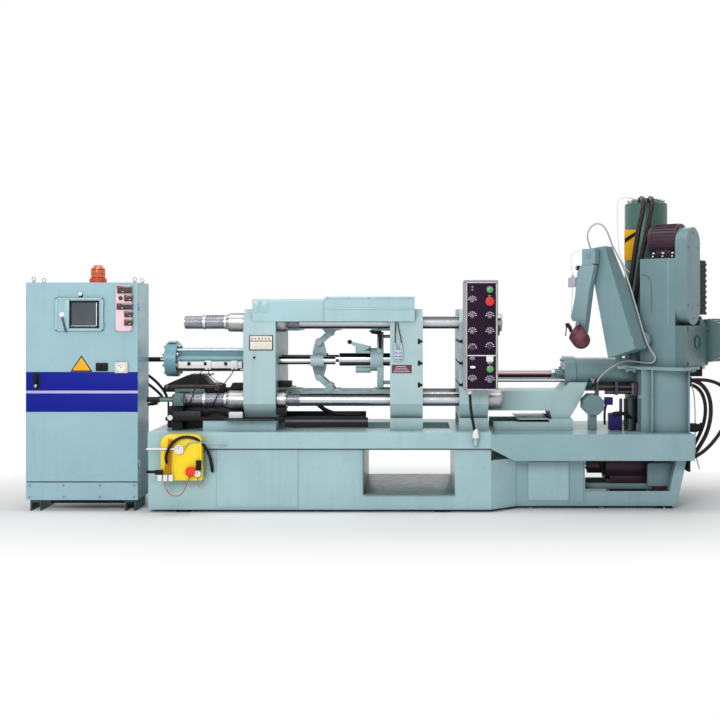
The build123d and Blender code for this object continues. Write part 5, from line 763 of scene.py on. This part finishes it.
p = Piece("tail_gauge", WHITE)
p.ring((-1990, -446, 770), OUT, 44, 30, 12)
p.lathe((-1990, -446, 770), OUT, [(0, 15), (7, 15)], 24)
p = Piece("tail_floor_strip", surface("bright_strip", (208, 216, 218), 0.35, bump=0.1))
p.box(-1505, -1392, -450, -420, 766, 816, 4)

# Tail plate and platen: rating plate, label, terminal box and its cables
p = Piece("tail_rating_frame", surface("frame_purple", (66, 50, 96), 0.35, coat=0.2, bump=0.1))
p.box(-1340, -1140, -442.5, -439, 1324, 1452, 2)
p = Piece("tail_rating_face", surface("plate_cream", (226, 220, 200), 0.35, bump=0.05))
p.box(-1330, -1150, -444, -441, 1334, 1398, 1)
p.box(-1330, -1150, -444, -441, 1406, 1442, 1)
p = Piece("tail_rating_lines", surface("plate_grey", (150, 146, 160), 0.4))
for k in range(4):
    p.box(-1322, -1158, -444.6, -443, 1342 + 14 * k, 1344.5 + 14 * k, 0)
for k in range(6):
    p.box(-1322 + 28 * k, -1306 + 28 * k, -444.6, -443, 1414, 1432, 0)
p = Piece("plate_dark_fittings", BLACK)
p.lathe((-1296, -440, 1266), OUT, [(0, 9), (8, 9), (9, 6)], 18)
p = Piece("platen_label", surface("label_dusk", (88, 56, 72), 0.5, bump=0.05, shine=0.2), "platen")
p.box(-158, 6, -441.5, -439, 1136, 1206, 1)
p = Piece("platen_label_lines", PINK, "platen")
for k in range(4):
    p.box(-148 + 9 * k, -8 - 12 * k, -442.2, -441, 1146 + 15 * k, 1150 + 15 * k, 0)
p = Piece("platen_terminal", surface("terminal_pale", (176, 184, 204), 0.4, bump=0.1), "platen")
p.box(-142, -66, -452, -438, 1236, 1330, 4)
for x in (-132, -82):
    p.prism([(x - 10, 1330), (x + 14, 1330), (x + 6, 1386), (x - 2, 1386)], "xz", -456, -440, 2)
p = Piece("platen_terminal_parts", BLACK, "platen")
for z in (1246, 1274, 1302):
    p.box(-136, -110, -453.5, -451, z, z + 5, 0.6)
    p.box(-100, -74, -453.5, -451, z, z + 5, 0.6)
line("platen_cable_0", [(-130, -448, 1386), (-132, -452, 1440), (-128, -452, 1500), (-126, -446, 1560)], 7, RUBBER,
    "platen")
line("platen_cable_1", [(-78, -448, 1386), (-84, -452, 1430), (-100, -452, 1490), (-110, -446, 1560)], 7, RUBBER,
    "platen")

# Hoods: guide blocks, trim strips and screws
p = Piece("hood_rear_blocks", MINT)
for x in (-1308, -1236):
    for y in (-448.3, 424):
        p.box(x, x + 54, y, y + 24, 1640, 1736, 5)
p = Piece("hood_front_trim", MINT, "platen")
for y in (-459.3, 456.3):
    p.box(-712, 28, y, y + 3, 1752, 1768, 1.2)
    p.box(-712, 28, y, y + 3, 1664, 1676, 1.2)
screws("hood_screws", [(x, -459.3, 1760) for x in range(-690, -9, 170)], OUT, 7, "platen")

# Bed: painted shadow under the flange and painted shade on the top beside the ways, floor of the window in a shaded
# mint tone, bolts of the feet
p = Piece("bed_shadow_lines", surface("bed_shadow_tone", (30, 46, 48), 0.7, vary=0.25))
p.box(-2148, 868, -547, -531.5, 519, 527, 0)
p.box(-1530, -1118, -531, -440, 757, 761, 0)
p.box(-1112, -400, -250, -238, 742, 761, 0.5)
p.box(-1112, -400, 226, 240, 700, 761, 0.5)
p = Piece("window_floor", MINT_DEEP)
p.box(-390, 358, -556, 548, 150.4, 154, 1)
p.box(-391.2, -388, -550, 548, 154, 511, 1)
p = Piece("bed_feet_bolts", STEEL)
for x in (-1900, -1100, 300, 1000, 1600, 2120):
    for y in (-300, 300):
        p.lathe((x, y, 1), UP, [(0, 42), (10, 42), (16, 30), (22, 14), (24, 14)], 24)

# Lubricator: its rounded case, with gauges, pipes and valves in front of it
p = Piece("lubricator_case", YELLOW)
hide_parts("lubricator")
outline = [(-2020, 283), (-1688, 283), (-1688, 560)]
outline += [(-1768 + 80 * math.cos(a), 576 + 80 * math.sin(a)) for a in (0.2, 0.5, 0.8, 1.1, 1.4)]
outline += [(-1940 + 80 * math.cos(a), 576 + 80 * math.sin(a)) for a in (1.75, 2.05, 2.35, 2.65, 2.95)]
p.prism(outline, "xz", -658, -550.3, 9)
p.prism([(-2002, 300), (-1706, 300), (-1706, 560), (-1776, 634), (-1932, 634), (-2002, 560)], "xz", -662, -656, 3)
p = Piece("lubricator_gauges", WHITE)
p.ring((-1868, -661, 536), OUT, 78, 60, 22)
p.lathe((-1868, -661, 536), OUT, [(0, 30), (12, 30)], 26)
p.rod((-2128, -680, 540), (-1906, -680, 540), 15)
p.ring((-1716, -672, 343), OUT, 52, 40, 20)
p.lathe((-1716, -672, 343), OUT, [(0, 20), (12, 20)], 22)
for x in (-2034, -1990, -1946):
    p.box(x, x + 34, -698, -664, 284, 334, 4)
p = Piece("lubricator_needles", BLACK)
p.box(-1870, -1867, -676, -674, 536, 560, 0)
p.box(-1718, -1715, -687, -685, 343, 359, 0)
p.rod((-1708, -677, 448), (-1708, -677, 372), 44)
p.box(-2060, -1996, -690, -664, 334, 372, 6)
p.rod((-2128, -676, 356), (-2050, -676, 356), 24)
p = Piece("lubricator_knob", surface("signal_orange", (226, 66, 26), 0.35, vary=0.06, shine=0.25))
p.lathe((-1772, -662, 357), OUT, [(0, 12), (8, 14), (10, 36), (26, 42), (33, 34), (36, 0)], 26)
p.box(-1752, -1690, -682, -664, 372, 392, 6)
for k, dx in enumerate((0, 22, 40)):
    line(f"lubricator_pipe_{k}", [(-1976 + dx, -682, 332), (-1974 + dx, -684, 400), (-1966 + dx * 0.8, -686, 470),
        (-1956 + dx * 0.7, -684, 540), (-1952 + dx * 0.7, -672, 600), (-1950 + dx * 0.7, -658, 620)], 8, COPPER)
line("lubricator_pipe_low", [(-1980, -682, 286), (-1978, -684, 240), (-1950, -682, 186), (-1900, -680, 160),
    (-1850, -680, 168), (-1820, -682, 210), (-1800, -682, 262), (-1780, -680, 318)], 8, COPPER)
line("lubricator_pipe_top", [(-1830, -682, 536), (-1800, -684, 580), (-1760, -684, 604), (-1700, -680, 596),
    (-1560, -600, 560), (-1500, -560, 556)], 7, STEEL)
line("lubricator_hose_arc", [(-1960, -684, 424), (-1976, -687, 470), (-1950, -687, 540), (-1910, -687, 600),
    (-1850, -687, 636), (-1780, -684, 640), (-1720, -660, 618), (-1670, -620, 560), (-1640, -580, 480),
    (-1628, -556, 400), (-1622, -548, 336)], 24, RUBBER)
line("lubricator_pipe_side", [(-1716, -682, 318), (-1714, -682, 262), (-1700, -680, 232), (-1672, -678, 226)], 8,
    BRASS)

# Ejector switch on the platen, hose behind the links, dark stop blocks
p = Piece("ejector_switch", MINT_CAST, "platen")
p.prism([(-532, 1392), (-360, 1352), (-356, 1330), (-430, 1300), (-470, 1296), (-470, 1340), (-536, 1378)], "xz",
    -96, -60, 5)
p.box(-474, -352, -92, -58, 1288, 1312, 4)
p = Piece("ejector_switch_roller", BLACK, "platen")
p.lathe((-528, -100, 1386), BACK, [(0, 16), (4, 19), (36, 19), (40, 16)], 22)
p.prism([(-362, 1486), (-262, 1500), (-252, 1474), (-252, 1330), (-276, 1330), (-280, 1452), (-336, 1458)], "xz",
    -160, -120, 5)
line("clamp_hose", [(-800, -140, 858), (-770, -150, 830), (-720, -156, 800), (-660, -158, 778), (-590, -160, 770),
    (-540, -160, 768), (-490, -159, 768), (-440, -158, 768)], 36, RUBBER)
p = Piece("tail_stop_block", BLACK)
p.box(-1118, -1010, -300, -180, 1010, 1062, 8)
p.box(-1118, -1040, -420, -330, 790, 850, 8)
for k in range(4):
    p.cap_screw((-1100 + 24 * k, -300, 1036), OUT, 10)

# Painted shade filling the T-slots of both platens, and the slide's cover between its rails
for name, body, neck, head, reach in (("moving_slot_shade", "platen", (78, 97), (57, 78), 437),
        ("fixed_slot_shade", "frame", (402, 421), (421, 442), 420)):
    p = Piece(name, BLACK, body)
    for z in (1039, 1219, 1399):
        p.box(*neck, -reach, reach, z - 10.6, z + 10.6, 1)
        p.box(*head, -reach, reach, z - 21.6, z + 21.6, 1)
p = Piece("slide_cover", MINT_CAST)
p.box(902, 1192, -257, 257, 734, 740, 2)

# Injection end: pipes' dark backing, valves, risers, bolts under the ladler's plate
SHOT_Z = 1104
p = Piece("manifold_backing", BLACK)
p.box(1566, 1932, -214, -176, 984, 1052, 4)
for x in (1600, 1680, 1770, 1850):
    p.box(x, x + 40, -222, -210, 992, 1044, 4)
p.rod((1935, -200, 700), (1935, -200, 1040), 66)
p.rod((1500, -232, 1062), (1566, -232, 1062), 24)
p = Piece("manifold_flanges", surface("flange_dusk", (150, 128, 140), 0.45, vary=0.12, shine=0.2, crease=0.3))
for x in (1560, 1868, 1896):
    p.ring((x, -235, 1010), RIGHT, 64, 36, 14)
    p.ring((x, -235, 966), RIGHT, 60, 36, 14)
p.rod((1520, -252, 1074), (1552, -252, 1064), 26)
p.box(1528, 1548, -262, -244, 1044, 1078, 4)
p = Piece("injection_blue_valves", surface("valve_blue", (30, 24, 92), 0.45, vary=0.15, shine=0.2))
p.box(1640, 1706, -262, -200, 858, 922, 6)
p.rod((1672, -266, 890), (1672, -250, 890), 44)
p.box(1668, 1764, -300, -214, 648, 790, 8)
p.rod((1716, -306, 724), (1716, -290, 724), 60)
p = Piece("ladler_plate_bolts", MINT_GREY)
for x, y in ((1810, -330), (1866, -350), (2268, -420), (2330, -400)):
    p.lathe((x, y, 1168), DOWN, [(-2, 24), (5, 24), (5, 17), (26, 17), (29, 14)], 6)
p.box(1800, 1880, -352, -318, 1150, 1166, 4)
p.box(2230, 2360, -440, -396, 1148, 1166, 4)
line("injection_black_pipe", [(1640, -240, 690), (1636, -246, 760), (1640, -246, 830), (1652, -244, 862)], 20, RUBBER)
line("injection_cross_pipe", [(1690, -320, 788), (1730, -326, 800), (1790, -318, 790), (1840, -290, 760),
    (1870, -262, 744), (1900, -240, 738)], 30, RUBBER)
p = Piece("injection_dark_cylinder", surface("post_green", (38, 58, 52), 0.4, vary=0.15, coat=0.2))
p.rod((1850, -262, 648), (1850, -262, 912), 58)
p.ring((1850, -262, 906), UP, 74, 40, 14)
p.ring((1850, -262, 700), UP, 70, 58, 12)
p = Piece("gland_nuts", STEEL)
p.lathe((1243, 0, SHOT_Z), LEFT, [(-2, 60), (10, 60), (12, 52), (26, 50), (28, 40)], 6)
for y, rise in spots_round(8, 134, math.pi / 8):
    p.cap_screw((1318, y, SHOT_Z + rise), LEFT, 16)
line("column_light_pipe", [(2322, -330, 1150), (2340, -330, 1080), (2372, -330, 960), (2380, -330, 820),
    (2380, -330, 600), (2382, -330, 460), (2400, -330, 380), (2416, -330, 330)], 9, CONDUIT)
p = Piece("column_black_valve", BLACK)
p.rod((2306, -340, 676), (2424, -340, 676), 64)
p.ring((2420, -340, 676), RIGHT, 84, 40, 14)
p.box(2330, 2392, -372, -308, 640, 712, 8)
p = Piece("column_hose_root", BLACK)
p.box(2306, 2440, -340, -200, 1104, 1187, 8)
p.box(2306, 2340, -380, -210, 1020, 1104, 8)
p.box(2306, 2330, -380, -210, 310, 400, 8)
p = Piece("bay_pump_fittings", MINT_GREY)
p.ring((1524, -70, 336), OUT, 96, 60, 16)
p.lathe((1524, -70, 336), OUT, [(0, 24), (10, 24), (12, 18)], 20)
p.box(1470, 2040, -262, -256, 150, 196, 2)
p.prism([(1990, 176), (2244, 176), (2244, 352), (2232, 372), (2004, 372), (1990, 356)], "xz", -290, -264, 5)
p = Piece("bay_dark_wedge", BLACK)
p.prism([(1600, 420), (1672, 420), (1672, 300), (1650, 232), (1622, 300)], "xz", -150, -118, 4)
p = Piece("base_door_frame", MINT_BASE)
for x in (1308, 1440):
    p.box(x, x + 10, -376, -369, 60, 560, 2)

# Ladler: motor fins, screws, a pale strip and a painted shadow edge on the tower, gear case ring, painted shadow
# under the guard, forearm switch and wires
MOTOR_V, MOTOR_Z = 140, 2252
GEAR_U, GEAR_Z = 90, 1400
p = Piece("ladler_motor_fins", MAROON, place=LADLER)
for k in (*range(15), *range(21, 26)):
    p.box(-214, -26, MOTOR_V - 3, MOTOR_V + 3, MOTOR_Z + 124, MOTOR_Z + 134, 1.5, turned("X", 2 * math.pi * k / 26,
        0, MOTOR_V, MOTOR_Z))
p.ring((-232, MOTOR_V, MOTOR_Z), RIGHT, 262, 220, 14, 40)
p.ring((-22, MOTOR_V, MOTOR_Z), RIGHT, 264, 220, 16, 40)
p = Piece("ladler_motor_seat", BLACK, place=LADLER)
p.box(-226, -16, 20, 250, 2090.5, 2130, 5)
p = Piece("ladler_motor_screws", WHITE, place=LADLER)
for u in (-206, -120, -34):
    p.bolt((u, 34, 2130), UP, 14, 10)
    p.rod((u, 17, 2108), (u, 21, 2108), 14)
p = Piece("ladler_tower_strip", surface("strip_pale", (150, 176, 178), 0.35), place=LADLER)
p.box(-63, -57, -3, 1, 1540, 2088, 1)
# A dark line on the tower's front is a painted shadow edge
line("ladler_tower_shadow_edge", [(-300, -2, 1960), (-262, -2, 1956), (-226, -2, 1930), (-212, -2, 1880), (-208, -2, 1760),
    (-206, -2, 1640)], 5, MINT_DEEP, place=LADLER)
p = Piece("gear_case_ring", TEAL_DARK, place=LADLER)
p.ring((100, 215, 1392), RIGHT, 112, 86, 9, 40)
p = Piece("gear_case_plug", MINT_DEEP, place=LADLER)
p.lathe((100, 215, 1392), RIGHT, [(-1, 42), (4, 42), (6, 36), (6, 12), (10, 10), (10, 0)], 32)
for v, z in ((30, 1215), (420, 1215), (30, 1500), (420, 1500)):
    p.bolt((100, v, z), RIGHT, 18, 12)
# A dark sheet under the chain guard is its painted shadow on the gear case
p = Piece("guard_foot_shadow", SHADOW_DARK, place=LADLER)
p.box(1, 99, 10, 270, 1531, 1537, 1)
screws("guard_screws", [(100, v, z) for v, z in ((40, 1700), (240, 1700), (40, 2180), (240, 2180), (140, 1590),
    (140, 2300))], RIGHT, 9, place=LADLER)
p = Piece("gear_motor_fins", MINT_DEEP, place=LADLER)
for k in range(30):
    p.box(GEAR_U - 3, GEAR_U + 3, 480, 740, GEAR_Z + 176, GEAR_Z + 186, 1.5, turned("Y", 2 * math.pi * k / 30,
        GEAR_U, 0, GEAR_Z))
p = Piece("shoulder_cap", MINT_SHANK, "ladler_arm", LADLER)
p.lathe((-265, -290, 1410), OUT, [(-1, 34), (0.8, 34), (1.5, 30)], 32)
p = Piece("forearm_switch", surface("switch_grey", (170, 162, 178), 0.4), "ladler_forearm", LADLER)
p.box(-800, -728, -362, -326, 1852, 1936, 5)
p.box(-730, -690, -352, -332, 1880, 1906, 3)
p.lathe((-764, -344, 1936), UP, [(-1, 12), (10, 12), (12, 8), (22, 8)], 18)
p = Piece("forearm_cover", MINT_ARM, "ladler_forearm", LADLER)
p.prism([(-672, 2034), (-704, 1972), (-725, 1775), (-762, 1600), (-748, 1566), (-624, 1572), (-604, 1775),
    (-545, 2034)], "xz", -378.5, -303, 4)
p.prism([(-664, 2040), (-548, 2040), (-552, 2034), (-662, 2034)], "xz", -379.5, -377, 0.5)
p = Piece("forearm_probe", WHITE, "ladler_forearm", LADLER)
p.rod((-764, -344, 1852), (-782, -344, 1580), 7)
line("forearm_switch_wire", [(-764, -344, 1956), (-780, -342, 2020), (-784, -340, 2090), (-772, -338, 2140),
    (-740, -336, 2160), (-706, -336, 2150)], 6, WHITE, "ladler_forearm", LADLER)
p = Piece("forearm_knob", BLACK, "ladler_forearm", LADLER)
p.ring((-700, -372, 2012), OUT, 40, 26, 6, 28)
p.ring((-700, -336, 2012), LEFT, 44, 20, 18, 28)

p = Piece("ladle_lip", surface("lip_dark", (44, 22, 28), 0.5, vary=0.25, scale=20, shine=0.2), "ladle_cup", LADLER)
p.prism([(-800, 1548), (-772, 1552), (-744, 1520), (-736, 1476), (-754, 1470), (-772, 1506), (-796, 1520)], "xz",
    -412, -392, 5)
p.rod((-790, -400, 1530), (-802, -400, 1440), 9)

# Accumulator: eye, plate, capillary pipe, hose ends, bolts
VESSEL_X, VESSEL_Y = 2102, 262
p = Piece("accumulator_eye_pale", PINK)
p.lathe((2066, 200, 2650), UP, [(0, 12), (5, 12), (6, 6), (9, 5)], 18)
p = Piece("accumulator_plate", surface("tag_yellow", (240, 176, 20), 0.4, vary=0.12, scale=5))
p.box(1880, 1984, 122, 128, 2101, 2370, 2)
p = Piece("accumulator_plate_stripe", BLACK)
p.prism([(1884, 2292), (1980, 2352), (1980, 2318), (1884, 2252)], "xz", 120.6, 122.5, 0.4)
p.box(1960, 1976, 126, 152, 2140, 2330, 2)
line("accumulator_capillary", [(1975, 150, 2640), (1930, 110, 2650), (1860, 80, 2648), (1822, 74, 2636),
    (1806, 72, 2590), (1808, 72, 2400), (1816, 70, 2200), (1850, 40, 2060), (1890, 0, 1990), (1930, -40, 1960)], 7,
    WHITE)
p = Piece("accumulator_hose_ends", BLACK)
for x, y in ((2020, 78), (2098, 78)):
    p.lathe((x, y, 2632), OUT, [(-2, 30), (16, 30), (18, 26), (40, 25)], 6)
for x in (1800, 1885):
    p.lathe((x, -30, 1277), UP, [(-2, 32), (14, 32), (16, 27), (40, 26)], 6)
screws("accumulator_head_bolts", [(VESSEL_X + a, VESSEL_Y + b, 2630) for a, b in spots_round(12, 160)], UP, 12)
p = Piece("accumulator_base_bolts", STEEL)
for a, b in spots_round(8, 196.5, 0.2):
    p.bolt((VESSEL_X + a, VESSEL_Y + b, 672), UP, 12, 7.8)

for piece in STARTED:
    piece.fill()

# Floor, light and background
FLOOR_REACH = 60.0
FADE_FROM, FADE_TO = 1.1, 2.3
WORLD_LIGHT = 0.34
floor_mesh = bpy.data.meshes.new("floor")
floor_mesh.from_pydata([(x * FLOOR_REACH, y * FLOOR_REACH, 0) for x, y in ((-1, -1), (1, -1), (1, 1), (-1, 1))],
                       [], [(0, 1, 2, 3)])
floor = bpy.data.objects.new("floor", floor_mesh)
bpy.context.collection.objects.link(floor)
ground = bpy.data.materials.new("ground")
ground.use_nodes = True
tree = ground.node_tree
pale = tree.nodes["Principled BSDF"]
pale.inputs["Roughness"].default_value = 0.9
pale.inputs["Base Color"].default_value = (0.86, 0.86, 0.86, 1)
pale.inputs["Specular IOR Level"].default_value = 0.1
glow = node(tree, "Emission", {"Color": (1, 1, 1, 1), "Strength": 1.0})["Emission"]
flat = node(tree, "Mapping", {"Vector": node(tree, "TexCoord", {})["Object"], "Scale": (0.42, 1, 1)})["Vector"]
far_off = node(tree, "VectorMath", {0: flat}, "LENGTH")["Value"]
fade = node(tree, "MapRange", {"Value": far_off, "From Min": FADE_FROM, "From Max": FADE_TO})["Result"]
mixed = node(tree, "MixShader", {"Fac": fade, 1: pale.outputs["BSDF"], 2: glow})["Shader"]
tree.links.new(mixed, tree.nodes["Material Output"].inputs["Surface"])
floor_mesh.materials.append(ground)

world = bpy.data.worlds.new("studio")
bpy.context.scene.world = world
world.use_nodes = True
tree = world.node_tree
rays = node(tree, "LightPath", {})
direct = node(tree, "Math", {0: rays["Is Camera Ray"], 1: rays["Is Glossy Ray"]}, "MAXIMUM")["Value"]
clear = node(tree, "Math", {0: direct, 1: rays["Is Transmission Ray"]}, "MAXIMUM")["Value"]
backdrop = tree.nodes["Background"].inputs
tree.links.new(node(tree, "MapRange", {"Value": clear, "To Min": WORLD_LIGHT, "To Max": 1.0})["Result"],
               backdrop["Strength"])
backdrop["Color"].default_value = (1, 1, 1, 1)

for name, place, aim, size, power in (("front_left", (-2.8, -8.5, 4.6), (-0.2, -0.3, 1.0), (5.0, 3.0), 440),
                                      ("front_right", (4.0, -8.0, 3.6), (0.6, -0.3, 1.0), (3.5, 2.5), 14),
                                      ("overhead", (0.0, -1.0, 6.5), (0, 0, 0), (7.0, 3.0), 170),
                                      ("behind", (2.0, 6.0, 5.0), (0, 0, 1.0), (5.0, 3.0), 90)):
    light = bpy.data.lights.new(name, "AREA")
    light.shape = "RECTANGLE"
    light.size, light.size_y = size
    light.energy = power
    lamp = bpy.data.objects.new(name, light)
    bpy.context.collection.objects.link(lamp)
    lamp.location = place
    lamp.rotation_euler = (Vector(aim) - Vector(place)).to_track_quat("-Z", "Y").to_euler()

bpy.context.scene.view_settings.view_transform = "Standard"
